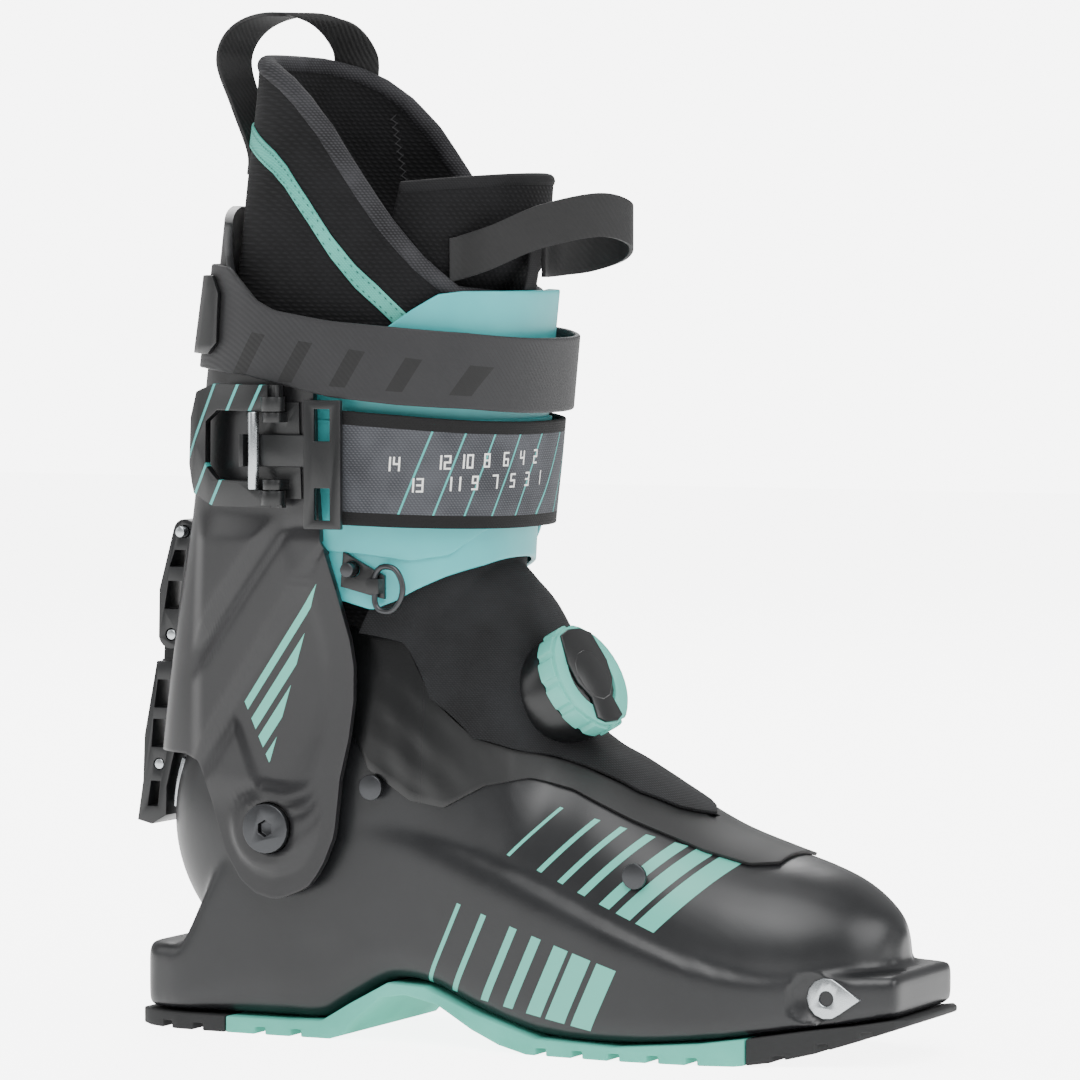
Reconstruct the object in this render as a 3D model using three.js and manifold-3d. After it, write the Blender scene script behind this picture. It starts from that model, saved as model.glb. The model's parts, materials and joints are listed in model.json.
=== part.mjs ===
// Alpine touring boot, right foot. Millimetres, +X to the toe, +Y to the inner side, +Z up.
// The foot is modelled about the middle of the sole and the whole boot is moved at the end,
// so that the origin is the centre of the footprint on the ground.
import * as THREE from 'three';
import { LoftGeometry } from 'three/addons/geometries/LoftGeometry.js';
import { mergeVertices } from 'three/addons/utils/BufferGeometryUtils.js';
import Module from 'manifold-3d';

const wasm = await Module();
wasm.setup();

// Driving dimensions
const PIVOT = { x: -82, z: 73 }; // cuff pivot axis, along Y
const SHELL_WALL = 3.2;
const CUFF_IN = 3.5; // offsets from the leg surface to each layer of the shaft
const CUFF_OUT = 6.5;
const GAP = 0.4; // between pieces that touch
const BOWL = { radius: 55, halfWidth: 38.3, roundness: 2.4 }; // ankle cup that the cuff swings around
const SIDE = { outer: -1, inner: 1 }; // sign of Y on each side of the boot

// Stations along the foot: x, half width, height of the widest point, top height, roundness of the top
const FOOT = [
  [-124, 8, 45, 60, 2.2], [-118, 22, 46, 78, 2.3], [-108, 30, 48, 105, 2.5], [-95, 34, 50, 135, 2.8],
  [-80, 36.5, 52, 165, 3.2], [-55, 37.5, 52, 176, 3.2], [-35, 38, 50, 172.5, 3.0], [-25, 38.5, 48, 169.5, 2.8],
  [-14, 39, 45, 164, 2.5], [-7, 39.5, 43, 158, 2.3], [0, 40, 41.5, 150, 2.3], [6, 41, 40, 137, 2.3],
  [10, 41.5, 39, 121, 2.3], [15, 42, 38, 109, 2.3], [22, 43, 36, 102.5, 2.3], [35, 44.5, 34, 95.5, 2.3],
  [52, 46, 32, 85.5, 2.3], [70, 46, 30, 76, 2.3], [90, 43.5, 30, 69, 2.3], [105, 39, 30, 64.5, 2.3],
  [118, 32, 30, 59.5, 2.2], [127, 24, 30, 53.5, 2.2], [133, 14, 31, 48, 2.2], [136, 5, 33, 43, 2.2],
];
// Stations of the sole frame, the raised band round the foot: x, half width, bottom, top
const FRAME = [
  [-141, 24, 6, 29], [-137, 29.5, 6, 29.5], [-130, 33, 6, 30], [-123, 35, 6, 31], [-112, 36, 6, 52],
  [-98, 36.5, 6, 75], [-82, 37, 6, 84], [-66, 37, 6.5, 86], [-55, 37.5, 13, 84], [-40, 38.5, 21, 79],
  [-25, 40, 20.5, 74], [-5, 43, 13, 67], [20, 46.5, 6, 58], [50, 49, 5, 46], [80, 47.5, 7.5, 35],
  [98, 43, 10, 31], [115, 36, 12.5, 31], [130, 32, 14.5, 31], [143, 27, 16.5, 31],
];
// Inside floor of the shell: x, height
const FLOOR = [[-160, 27], [-40, 27], [0, 20], [40, 12.5], [84, 12.5], [108, 31.5], [160, 33]];
// The leg surface that every layer of the shaft is offset from: z, back, front, half width, roundness
const LEG = [
  [40, -134, -14, 37.5, 3], [75, -134, -14, 37.5, 3], [96, -132, -14, 37.8, 3], [130, -128, -14, 39, 2.8],
  [172, -121.5, -12.5, 42, 2.5], [200, -118, -9.5, 44, 2.4], [235, -113.5, -6.5, 45.5, 2.4],
  [260, -110.5, -3.5, 46, 2.3], [290, -107, 0, 46, 2.3], [345, -101.5, 2, 45, 2.3],
];

// Materials
const paint = (color, roughness, metalness = 0) =>
  new THREE.MeshStandardMaterial({ color, roughness, metalness });
const GRAPHITE = paint('#3a3b3e', 0.5);
const BLACK = paint('#151618', 0.6);
const AQUA = paint('#66c2bd', 0.5);
const RUBBER_AQUA = paint('#7fd3c1', 0.75);
const RUBBER_BLACK = paint('#242526', 0.8);
const FABRIC = paint('#1b1c1e', 0.95);
const WEBBING = paint('#6f7276', 0.9);
const STEEL = paint('#c9ccd0', 0.3, 1);
const DARK_STEEL = paint('#55575a', 0.4, 1);

// Solids: a closed geometry becomes a manifold, and back
function solid(geometry) {
  const bare = new THREE.BufferGeometry();
  bare.setAttribute('position', geometry.getAttribute('position').clone());
  if (geometry.index) bare.setIndex(geometry.index.clone());
  const merged = mergeVertices(bare, 1e-3);
  const vertProperties = merged.attributes.position.array;
  const triVerts = new Uint32Array(merged.index.array);
  const made = new wasm.Manifold(new wasm.Mesh({ numProp: 3, vertProperties, triVerts }));
  if (made.volume() >= 0) return made;
  return new wasm.Manifold(new wasm.Mesh({ numProp: 3, vertProperties, triVerts: triVerts.reverse() }));
}

function geometryOf(manifold) {
  const mesh = manifold.getMesh();
  const geometry = new THREE.BufferGeometry();
  geometry.setAttribute('position', new THREE.BufferAttribute(mesh.vertProperties, 3));
  geometry.setIndex(new THREE.BufferAttribute(mesh.triVerts, 1));
  geometry.computeVertexNormals();
  return geometry;
}

// A smooth row of values between the stations of a table
function tableAt(table) {
  const width = table[0].length - 1;
  const places = table.map((row) => row[0]);
  const values = table.flatMap((row) => row.slice(1));
  const spline = new THREE.CubicInterpolant(places, values, width, new Float32Array(width));
  return (place) => [...spline.evaluate(place)];
}
const footAt = tableAt(FOOT);
const frameAt = tableAt(FRAME);
const legAt = tableAt(LEG);
// One point of a superellipse with unit half axes
const rounded = (value, roundness) => Math.sign(value) * Math.abs(value) ** (2 / roundness);

// The foot as a solid, grown by `grow` (negative shrinks it); `bottom` gives the height of its underside
function footSolid(grow, bottom, sides = 24) {
  const places = FOOT.map((row) => row[0] + (row[0] < -100 ? -grow : row[0] > 120 ? grow : 0));
  const sections = places.map((place, index) => {
    const [halfWidth, middle, top, roundness] = footAt(FOOT[index][0]);
    const low = Math.min(bottom(place), middle - 2);
    return Array.from({ length: sides }, (_, side) => {
      const angle = (side / sides) * 2 * Math.PI;
      const up = Math.sin(angle);
      const shape = up >= 0 ? roundness : 5;
      const reach = up >= 0 ? top + grow - middle : middle - low;
      return new THREE.Vector3(
        place,
        Math.max(halfWidth + grow, 1.5) * rounded(Math.cos(angle), shape),
        middle + Math.max(reach, 1.5) * rounded(up, shape),
      );
    });
  });
  return solid(new LoftGeometry(sections, { capStart: true, capEnd: true }));
}

// The ankle cup as a body of revolution about the pivot axis
function bowlSolid(grow) {
  const steps = 9;
  const radius = BOWL.radius + grow;
  const halfWidth = BOWL.halfWidth + grow;
  const profile = Array.from({ length: steps + 1 }, (_, step) => {
    const angle = (step / steps) * Math.PI - Math.PI / 2;
    return new THREE.Vector2(
      Math.max(radius * rounded(Math.cos(angle), BOWL.roundness), 0),
      halfWidth * rounded(Math.sin(angle), BOWL.roundness),
    );
  });
  profile[0].x = 0;
  profile[steps].x = 0;
  return solid(new THREE.LatheGeometry(profile, 28)).translate([PIVOT.x, 0, PIVOT.z]);
}

// The shaft as a solid between two heights; `grow` gives how far it is moved out at each height
function shaftSolid(grow, low, high, levels = 9, sides = 32) {
  const offsets = typeof grow === 'function' ? grow : () => grow;
  const sections = Array.from({ length: levels + 1 }, (_, level) => {
    const z = low + ((high - low) * level) / levels;
    const [back, front, halfWidth, roundness] = legAt(z);
    const out = offsets(z);
    const rear = back - (out.back ?? out);
    const toe = front + (out.front ?? out);
    return Array.from({ length: sides }, (_unused, side) => {
      const angle = ((side + 0.5) / sides) * 2 * Math.PI;
      return new THREE.Vector3(
        (rear + toe) / 2 + ((toe - rear) / 2) * rounded(Math.cos(angle), roundness),
        (halfWidth + (out.side ?? out)) * rounded(Math.sin(angle), roundness),
        z,
      );
    });
  });
  return solid(new LoftGeometry(sections, { capStart: true, capEnd: true }));
}

// A layer of the shaft between two offsets, kept inside an outline drawn in the side view
const shaftLayer = (inside, outside, outline, low, high, levels = 9) =>
  shaftSolid(outside, low, high, levels)
    .subtract(shaftSolid(inside, low - 1, high + 1, levels))
    .intersect(sidePrism(outline));

// The largest piece of a solid that a cut has left in several pieces
const largest = (shape) => shape.decompose().sort((a, b) => b.volume() - a.volume())[0];

// A prism across the boot from an outline drawn in the side view, between two values of Y
function sidePrism(outline, yFrom = -90, yTo = 90, holes = []) {
  const points = (line) => line.map(([x, z]) => new THREE.Vector2(x, z));
  const rim = points(outline);
  const shape = new THREE.Shape(THREE.ShapeUtils.isClockWise(rim) ? rim.reverse() : rim);
  holes.forEach((hole) => shape.holes.push(new THREE.Path(points(hole))));
  const prism = new THREE.ExtrudeGeometry(shape, { depth: yTo - yFrom, bevelEnabled: false });
  return solid(prism.rotateX(Math.PI / 2).translate(0, yTo, 0));
}

// A prism upwards from an outline drawn in plan
function planPrism(outline, low, high) {
  const shape = new THREE.Shape(outline.map(([x, y]) => new THREE.Vector2(x, y)));
  const prism = new THREE.ExtrudeGeometry(shape, { depth: high - low, bevelEnabled: false });
  return solid(prism.translate(0, 0, low));
}

const box = (x0, x1, y0, y1, z0, z1) =>
  solid(new THREE.BoxGeometry(x1 - x0, y1 - y0, z1 - z0)
    .translate((x0 + x1) / 2, (y0 + y1) / 2, (z0 + z1) / 2));

// Cylinders along Y and along Z
const pinY = (radius, x, z, y0, y1, sides = 20) =>
  solid(new THREE.CylinderGeometry(radius, radius, y1 - y0, sides).translate(x, (y0 + y1) / 2, z));
const pinZ = (radius, x, y, z0, z1, sides = 16) =>
  solid(new THREE.CylinderGeometry(radius, radius, z1 - z0, sides)
    .rotateX(Math.PI / 2).translate(x, y, (z0 + z1) / 2));

const pinX = (radius, y, z, x0, x1, sides = 12) =>
  solid(new THREE.CylinderGeometry(radius, radius, x1 - x0, sides)
    .rotateZ(Math.PI / 2).translate((x0 + x1) / 2, y, z));

const arc = (x, z, radius, from, to, steps) =>
  Array.from({ length: steps + 1 }, (_, step) => {
    const angle = ((from + ((to - from) * step) / steps) * Math.PI) / 180;
    return [x + radius * Math.cos(angle), z + radius * Math.sin(angle)];
  });

const boot = new THREE.Group();
function add(name, shape, material, parent = boot) {
  const mesh = new THREE.Mesh(shape.isBufferGeometry ? shape : geometryOf(shape), material);
  mesh.name = name;
  parent.add(mesh);
  return mesh;
}

// Pieces of the foot ------------------------------------------------------------------------

const THROAT_LINE = [[-36, 136], [-23, 130], [3, 108], [20, 99], [32, 96], [52, 90], [62, 86]];
const RIVETS = [[-45, 88], [55, 62]];
const TOE_INSERT = { x: 120.5, z: 23, y: 33 };
const HEEL_INSERT = { x: -141, z: 18, halfWidth: 15, halfHeight: 9 };
const onSide = (sign, near, far) => [sign * near, sign * far].sort((a, b) => a - b);

// The raised sole frame round the foot
function frameSolid(sides = 16) {
  const sections = FRAME.map(([x, halfWidth, bottom, top]) => Array.from({ length: sides }, (_, side) => {
    const angle = ((side + 0.5) / sides) * 2 * Math.PI;
    return new THREE.Vector3(
      x,
      halfWidth * rounded(Math.cos(angle), 7),
      (bottom + top) / 2 + ((top - bottom) / 2) * rounded(Math.sin(angle), 7),
    );
  }));
  return solid(new LoftGeometry(sections, { capStart: true, capEnd: true }));
}

// Everything above the inside floor raised by `lift`
const aboveFloor = (lift) => sidePrism([
  [-160, 27 + lift], ...FLOOR.slice(1).map(([x, z]) => [x, z + lift]), [160, 240], [-160, 240],
], -60, 60);

// The room inside the shell, shrunk by `grow`, above the floor raised by `lift`
const room = (grow, lift) => footSolid(grow, () => 5).add(bowlSolid(grow)).intersect(aboveFloor(lift));

const insertOutline = (grow) => {
  const { x, z } = TOE_INSERT;
  return [...arc(x, z, 7 + grow, 45, 315, 10), [x + 12 + grow, z]];
};

function lowerShell() {
  const frameBottom = (x) => frameAt(Math.min(Math.max(x, -141), 143))[1] + 3;
  let shell = footSolid(0, frameBottom).add(bowlSolid(0)).add(frameSolid());
  shell = shell.subtract(room(-SHELL_WALL, 0));
  shell = shell.subtract(sidePrism([
    [-160, 97], [-108, 97], [-97, 118], [-58, 128], ...THROAT_LINE, [62, 250], [-160, 250],
  ]));
  shell = shell.subtract(pinY(4.3, PIVOT.x, PIVOT.z, -60, 60));
  Object.values(SIDE).forEach((sign) => {
    shell = shell.subtract(sidePrism(insertOutline(GAP), ...onSide(sign, TOE_INSERT.y - 14, 50)));
    RIVETS.forEach(([x, z]) => {
      shell = shell.subtract(pinY(2.4, x, z, ...onSide(sign, 20, 60), 12));
    });
  });
  const { x, z, halfWidth, halfHeight } = HEEL_INSERT;
  const [width, height] = [halfWidth + GAP, halfHeight + GAP];
  shell = shell.subtract(box(x - 5, x + 4, -width, width, z - height, z + height));
  return shell.subtract(pinX(2.9, 0, z, x, x + 26));
}

// Sole: the pieces of rubber under the frame, cut from one side outline and one plan outline
const SOLE_TOP = [...FRAME.map(([x, , bottom]) => [x, bottom - 0.3]), [147, 16.2]];
const SOLE_BOTTOM = [
  [147, 14.5], [136, 10.5], [119, 5], [104, 1.5], [92, 0], [16, 0], [5, 2.5], [-6, 7], [-20, 14.5], [-33, 17],
  [-43, 15.5], [-52, 8], [-58, 1.5], [-63, 0], [-142.5, 0],
];

function soleSolid() {
  const rim = FRAME.map(([x, halfWidth]) => [x, halfWidth + 0.4]);
  const plan = [...rim.map(([x, y]) => [x, -y]), [146, -22], [146, 22], ...rim.map(([x, y]) => [x, y]).reverse()];
  const side = sidePrism([[-142.5, 5.7], ...SOLE_TOP.slice(1), ...SOLE_BOTTOM], -60, 60);
  let sole = side.intersect(planPrism([[-142.5, -24], ...plan.slice(1, -1), [-142.5, 24]], -5, 40));
  for (const x of [-128, -115, -90, -76, 22, 36, 50, 64, 78]) {
    sole = sole.subtract(box(x - 2, x + 2, -60, 60, -5, 2.6));
  }
  for (const x of [106, 120, 134]) {
    sole = sole.subtract(box(x - 2, x + 2, -60, 60, -5, 3.2 + (x - 104) * 0.3));
  }
  sole = sole.subtract(box(-135, -70, -6, 6, -5, 2.6));
  return sole.subtract(box(18, 92, -6, 6, -5, 2.6));
}

function boardSolid() {
  const strip = aboveFloor(0.4).subtract(aboveFloor(3.4));
  return footSolid(-SHELL_WALL - 0.8, () => 5).intersect(strip).intersect(box(-122, 96, -60, 60, 0, 60));
}

const soft = { rim: [[-160, 95], [-109, 95], [-99, 115], [-58, 124], [-36, 132], [-20, 140], [-4, 146]] };

function linerFoot() {
  const wall = SHELL_WALL + 0.6;
  let liner = room(-wall, 3.8).subtract(room(-wall - 4.5, 8.3));
  liner = liner.subtract(sidePrism([...soft.rim, [-4, 250], [-160, 250]]));
  liner = liner.subtract(pinY(9, PIVOT.x, PIVOT.z, -60, -31.9)).subtract(pinY(9, PIVOT.x, PIVOT.z, 31.9, 60));
  return largest(liner);
}

function footbed() {
  const wall = SHELL_WALL + 5.6;
  const strip = aboveFloor(8.7).subtract(aboveFloor(12.2));
  return footSolid(-wall, () => 5).intersect(strip).intersect(box(-118, 92, -60, 60, 0, 80));
}

// The fabric closing the throat and the smooth band along its edge
const GAITER_LINE = [
  [-62, 145], [-50, 141], [-35, 138], [-24, 119], [-8, 106], [10, 101.5], [25, 97], [46, 88], [60, 82], [68, 79.6],
];
const RAND_LINE = [
  [-56, 111], [-47, 94], [-31, 84], [-18, 82], [-3, 90], [12, 93], [26, 89.5], [48, 80], [73, 70.5], [89, 66.3],
  [97, 66.5],
];

function gaiterBody(footGrow, legGrow) {
  return footSolid(footGrow, () => 5).add(shaftSolid(legGrow, 120, 176, 5));
}

function gaiterSolid() {
  const skin = gaiterBody(2, 1.1).subtract(gaiterBody(0.5, 0.3));
  const region = sidePrism([...GAITER_LINE, [70, 90], [20, 140], [10, 170], [-62, 170]]);
  return largest(skin.intersect(region));
}

function randSolid() {
  const skin = footSolid(2, () => 5).subtract(footSolid(0.5, () => 5));
  const region = [
    ...RAND_LINE, [97, 84], [68.6, 84], ...GAITER_LINE.slice(1).reverse().map(([x, z]) => [x, z - 0.4]),
  ];
  let rand = skin.intersect(sidePrism(region));
  rand = rand.subtract(frameSolid().translate([0, 0, 0.4])).subtract(bowlSolid(0.4));
  RIVETS.forEach(([x, z]) => {
    rand = rand.subtract(pinY(5, x, z, -60, 60, 16));
  });
  return rand;
}

add('lower_shell', lowerShell(), GRAPHITE);
const sole = soleSolid();
add('heel_rubber', sole.intersect(box(-150, -104, -60, 60, -5, 40)), RUBBER_BLACK);
add('outsole', sole.intersect(box(-103.6, 95.6, -60, 60, -5, 40)), RUBBER_AQUA);
add('toe_rubber', sole.intersect(box(96, 150, -60, 60, -5, 40)), RUBBER_BLACK);
add('boot_board', boardSolid(), BLACK);
add('liner_foot', linerFoot(), FABRIC);
add('footbed', footbed(), FABRIC);
add('gaiter', gaiterSolid(), FABRIC);
add('gaiter_rand', randSolid(), BLACK);
for (const [side, sign] of Object.entries(SIDE)) {
  const { x, y, z } = TOE_INSERT;
  const insert = sidePrism(insertOutline(0), ...onSide(sign, y - 13.6, y));
  add(`toe_insert_${side}`, insert.subtract(pinY(2.6, x, z, ...onSide(sign, y - 5, y + 5), 16)), STEEL);
  RIVETS.forEach(([rivetX, rivetZ], index) => {
    const face = index === 0 ? 37.6 : 39.8;
    const shank = pinY(2, rivetX, rivetZ, ...onSide(sign, face - 2.8, face + 2.5), 12);
    const head = pinY(4.4, rivetX, rivetZ, ...onSide(sign, face + 2.4, face + 4), 16);
    add(`shell_rivet_${side}_${index === 0 ? 'rear' : 'front'}`, shank.add(head), DARK_STEEL);
  });
}
const heelPlate = box(HEEL_INSERT.x, HEEL_INSERT.x + 3.6, -HEEL_INSERT.halfWidth, HEEL_INSERT.halfWidth,
  HEEL_INSERT.z - HEEL_INSERT.halfHeight, HEEL_INSERT.z + HEEL_INSERT.halfHeight);
let heelInsert = heelPlate.add(pinX(2.5, 0, HEEL_INSERT.z, HEEL_INSERT.x + 1, HEEL_INSERT.x + 25));
for (const y of [-9, 9]) {
  heelInsert = heelInsert.subtract(pinX(2.8, y, HEEL_INSERT.z, HEEL_INSERT.x - 5, HEEL_INSERT.x + 10));
}
add('heel_insert', heelInsert, STEEL);

// Plate on the back of the heel that the walk lever locks on to
const lockArc = (radius, from, to) => arc(PIVOT.x, PIVOT.z, radius, from, to, 4);
add('lock_plate', sidePrism([...lockArc(57.3, 160, 178), ...lockArc(55.4, 160, 178).reverse()], -8, 8), STEEL);

// Pieces of the shaft -----------------------------------------------------------------------

const oneSide = (shape, sign) => shape.intersect(box(-200, 60, ...onSide(sign, 0, 90), 0, 400));
const outwards = (front, side, back) => () => ({ front, side, back });
const CUFF_OUTLINE = [
  [-61, 232], [-61, 173], [-55, 156], [-50, 139], [-49, 118], [-55, 91], [-58, 70], [-66, 53], [-81, 48],
  [-94, 54], [-101, 68], [-106, 84], [-112, 97], [-150, 97], [-150, 290], [-111, 288], [-103, 268], [-90, 250],
];
const WALK = { top: [-133.5, 172.5], mid: [-139, 136], low: [-144, 89], pin: 1.9 };

function cuff() {
  let shape = shaftLayer(CUFF_IN, CUFF_OUT, CUFF_OUTLINE, 44, 292, 14);
  Object.values(SIDE).forEach((sign) => {
    shape = shape.add(pinY(13.5, PIVOT.x, PIVOT.z, ...onSide(sign, 41.5, 46), 24));
  });
  shape = shape.subtract(pinY(9, PIVOT.x, PIVOT.z, -60, 60, 24));
  shape = shape.subtract(box(-160, -120, -12.8, 12.8, 60, 142));
  const [x, z] = WALK.top;
  const ear = sidePrism([[-122, z - 14], ...arc(x, z, 4.5, 250, 100, 8), [-122, z + 12]], -13.6, 13.6)
    .subtract(shaftSolid(5, z - 20, z + 20, 4)).subtract(box(-160, -100, -10.4, 10.4, z - 30, z + 30));
  return shape.add(ear).subtract(pinY(2.3, x, z, -20, 20, 16));
}

add('cuff', cuff(), GRAPHITE);
for (const [side, sign] of Object.entries(SIDE)) {
  const ring = pinY(8.6, PIVOT.x, PIVOT.z, ...onSide(sign, 38.7, 45), 24)
    .subtract(pinY(4.3, PIVOT.x, PIVOT.z, -60, 60));
  add(`pivot_bush_${side}`, ring, BLACK);
  const shank = pinY(4, PIVOT.x, PIVOT.z, ...onSide(sign, 35.3, 46), 20);
  const head = pinY(8.6, PIVOT.x, PIVOT.z, ...onSide(sign, 45.3, 48.6), 24);
  const socket = pinY(3, PIVOT.x, PIVOT.z, ...onSide(sign, 45.8, 50), 6);
  add(`pivot_bolt_${side}`, shank.add(head).subtract(socket), DARK_STEEL);
  const nut = pinY(8, PIVOT.x, PIVOT.z, ...onSide(sign, 32.2, 33.7), 24);
  add(`pivot_nut_${side}`, nut.subtract(pinY(3, PIVOT.x, PIVOT.z, ...onSide(sign, 32.9, 36), 16)), DARK_STEEL);
}

const TONGUE_OUTLINE = [
  [-72, 152], [-55, 152], [-44, 149], [-29, 156], [-11, 164], [12, 169], [12, 257], [-19, 258], [-25, 253],
  [-34, 247], [-72, 236],
];
add('tongue', shaftLayer(outwards(3, 1.2, -4), outwards(5.2, 3.1, -2), TONGUE_OUTLINE, 146, 262, 9), AQUA);

const STRAP = {
  in: outwards(11.4, 7.6, 7.4), out: outwards(14, 9.6, 9.4),
  outline: [[-150, 231], [-105, 231], [-88, 229], [-54, 222], [-8, 218], [20, 214], [20, 240], [-8, 244], [-54, 248],
    [-84, 255], [-98, 267], [-150, 267]],
};
add('power_strap', shaftLayer(STRAP.in, STRAP.out, STRAP.outline, 208, 272, 6), WEBBING);
const padOutline = [[-150, 236], [-106, 236], [-101, 240], [-101, 257], [-106, 263], [-150, 263]];
const pad = shaftLayer(outwards(14, 9.9, 9.7), outwards(15.4, 11.4, 12), padOutline, 230, 268, 4);
add('power_strap_pad', largest(pad), BLACK);

// Lower strap, its anchor on the inner side and its buckle on the outer side
const KNUCKLE = { x: -74, y: -57 };
const lowStrap = shaftLayer(outwards(9.4, 6.9, 6.9), outwards(11.4, 8.8, 8.8),
  [[-56, 178.5], [-8, 177], [20, 176], [20, 212], [-8, 214], [-56, 218]], 170, 224, 5);
add('buckle_strap', largest(lowStrap), WEBBING);
const ANCHOR_OUTLINE = [[-78, 182], [-56.4, 180], [-56.4, 216], [-78, 214]];
const anchor = shaftLayer(outwards(9, 6.8, 6.8), outwards(11, 9, 9), ANCHOR_OUTLINE, 176, 222, 3);
add('strap_anchor', oneSide(anchor, 1), BLACK);
const eye = (radius, z0, z1) => pinZ(radius, KNUCKLE.x, KNUCKLE.y, z0, z1, 20);
const knuckles = [[190.3, 193.7], [213.3, 216.7]];

function buckleBase() {
  const plate = shaftLayer(outwards(9, 6.9, 6.9), outwards(9, 8.5, 8.5),
    [[-88, 187], [-66, 187], [-66, 220], [-88, 220]], 182, 226, 3);
  let base = oneSide(plate, -1);
  knuckles.forEach(([z0, z1]) => {
    base = base.add(eye(3.6, z0, z1)).add(box(KNUCKLE.x - 3.6, KNUCKLE.x + 3.6, KNUCKLE.y, -51.2, z0, z1));
  });
  return base.subtract(eye(1.9, 180, 230));
}

function buckleLever() {
  const outline = [[-71, 184], [-100, 184], [-110, 188], [-113.5, 198], [-113.5, 214], [-110, 223], [-100, 226],
    [-71, 226]];
  const hole = [[-79, 193], [-98, 193], [-104, 198], [-104, 213], [-98, 217], [-79, 217]];
  const inside = shaftSolid(outwards(10.4, 10.4, 10.4), 179, 231, 4);
  let lever = shaftSolid(outwards(13.6, 13.6, 13.6), 180, 230, 4).subtract(inside);
  lever = oneSide(lever.intersect(sidePrism(outline, -90, 90)).subtract(sidePrism(hole)), -1);
  lever = lever.subtract(box(-84, -66, -70, -40, 189.9, 217.1));
  return lever.add(eye(4.2, 185, 189.9)).add(eye(4.2, 217.1, 222)).subtract(eye(1.9, 180, 230));
}

add('buckle_base', buckleBase(), BLACK);
add('buckle_lever', buckleLever(), GRAPHITE);
add('knuckle_pin_low', eye(1.6, 185, 193.7), STEEL);
add('knuckle_pin_top', eye(1.6, 213.3, 222), STEEL);
add('tension_pin', pinZ(1.9, -81.4, -57.2, 190.2, 216.8), STEEL);
let plate = box(-63, -49, -55.9, -53.7, 177, 221);
for (const z of [180, 207]) plate = plate.subtract(box(-59, -53, -60, -50, z, z + 11));
const hook = box(-86.4, -62, -54.8, -53.2, 198, 209).add(box(-86.4, -84.8, -58.6, -53.2, 198, 209));
add('buckle_plate', plate.add(hook), BLACK);

// Walk mechanism at the back: link, lever and their pins
function walkLink() {
  const [x, z] = WALK.top;
  const [midX, midZ] = WALK.mid;
  const outline = [
    ...arc(x, z, 4.4, 10, 170, 8), [-143.6, 152], ...arc(midX, midZ, 5, 190, 350, 8), [-132.4, 150], [-129.4, 165],
  ];
  const windows = [
    [[-139.5, 160], [-134, 160], [-132.6, 166], [-137.4, 166]],
    [[-141.6, 145], [-136, 145], [-134.6, 155], [-140, 155]],
  ];
  let link = sidePrism(outline, -10, 10, windows);
  const fork = box(-160, -120, -6.4, 6.4, midZ - 10, midZ + 5.6);
  link = link.subtract(fork).subtract(pinY(2.3, x, z, -20, 20, 16));
  return link.subtract(pinY(2.3, midX, midZ, -20, 20, 16));
}

function walkLever() {
  const [midX, midZ] = WALK.mid;
  const stem = sidePrism([...arc(midX, midZ, 4.6, 0, 180, 8), [-144.2, 124], [-135, 124]], -6, 6);
  const body = sidePrism([
    [-134.6, 127], [-144.6, 127], [-149.8, 100], [-150.4, 84], [-152.6, 70], [-147, 68.6], [-141.2, 72],
    [-141, 82], [-138.8, 91], [-136.2, 100], [-134.8, 110],
  ], -10, 10, [
    [[-144.4, 120], [-137.4, 120], [-138, 110], [-145.8, 110]],
    [[-146.2, 106], [-139.6, 106], [-141, 96], [-147, 96]],
    [[-147.2, 84], [-143.4, 84], [-144.6, 75], [-148.6, 75]],
  ]);
  const fork = box(-150, -130, -10.5, -6, 126.5, 140).add(box(-150, -130, 6, 10.5, 126.5, 140));
  const pinHoles = pinY(2.3, midX, midZ, -20, 20, 16).add(pinY(2.2, WALK.low[0], 90, -20, 20, 16));
  return body.subtract(fork).add(stem).subtract(pinHoles);
}

add('walk_link', walkLink(), GRAPHITE);
add('walk_lever', walkLever(), GRAPHITE);
add('walk_link_pin', pinY(WALK.pin, ...WALK.top, -13.6, 13.6, 16), STEEL);
add('walk_lever_pin', pinY(WALK.pin, ...WALK.mid, -10, 10, 16), STEEL);
add('lock_pin', pinY(WALK.pin, WALK.low[0], 90, -10, 10, 16), STEEL);

// Inner boot: padded shaft, tongue and pull loops
const LINER_OUTLINE = [
  [-150, 101], [-112, 104], [-100, 134], [-60, 150], [-40, 158], [-12, 170], [6, 174], [10, 250], [-16, 256],
  [-50, 297], [-76, 331], [-100, 337], [-150, 338],
];
let shaft = shaftLayer(-5, 0, LINER_OUTLINE, 95, 342, 14).subtract(pinY(57.8, PIVOT.x, PIVOT.z, -60, 60, 40));
add('liner_shaft', largest(shaft), FABRIC);
const bulge = (rest) => (z) => ({
  side: rest - 2.5, back: rest, front: rest + 6 * THREE.MathUtils.smoothstep(z, 256, 270),
});
const LINER_TONGUE = [[-44, 168], [12, 176], [12, 297], [-36, 293], [-42, 270]];
add('liner_tongue', largest(shaftLayer(bulge(-9.5), bulge(-5.4), LINER_TONGUE, 160, 304, 12)), FABRIC);

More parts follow.
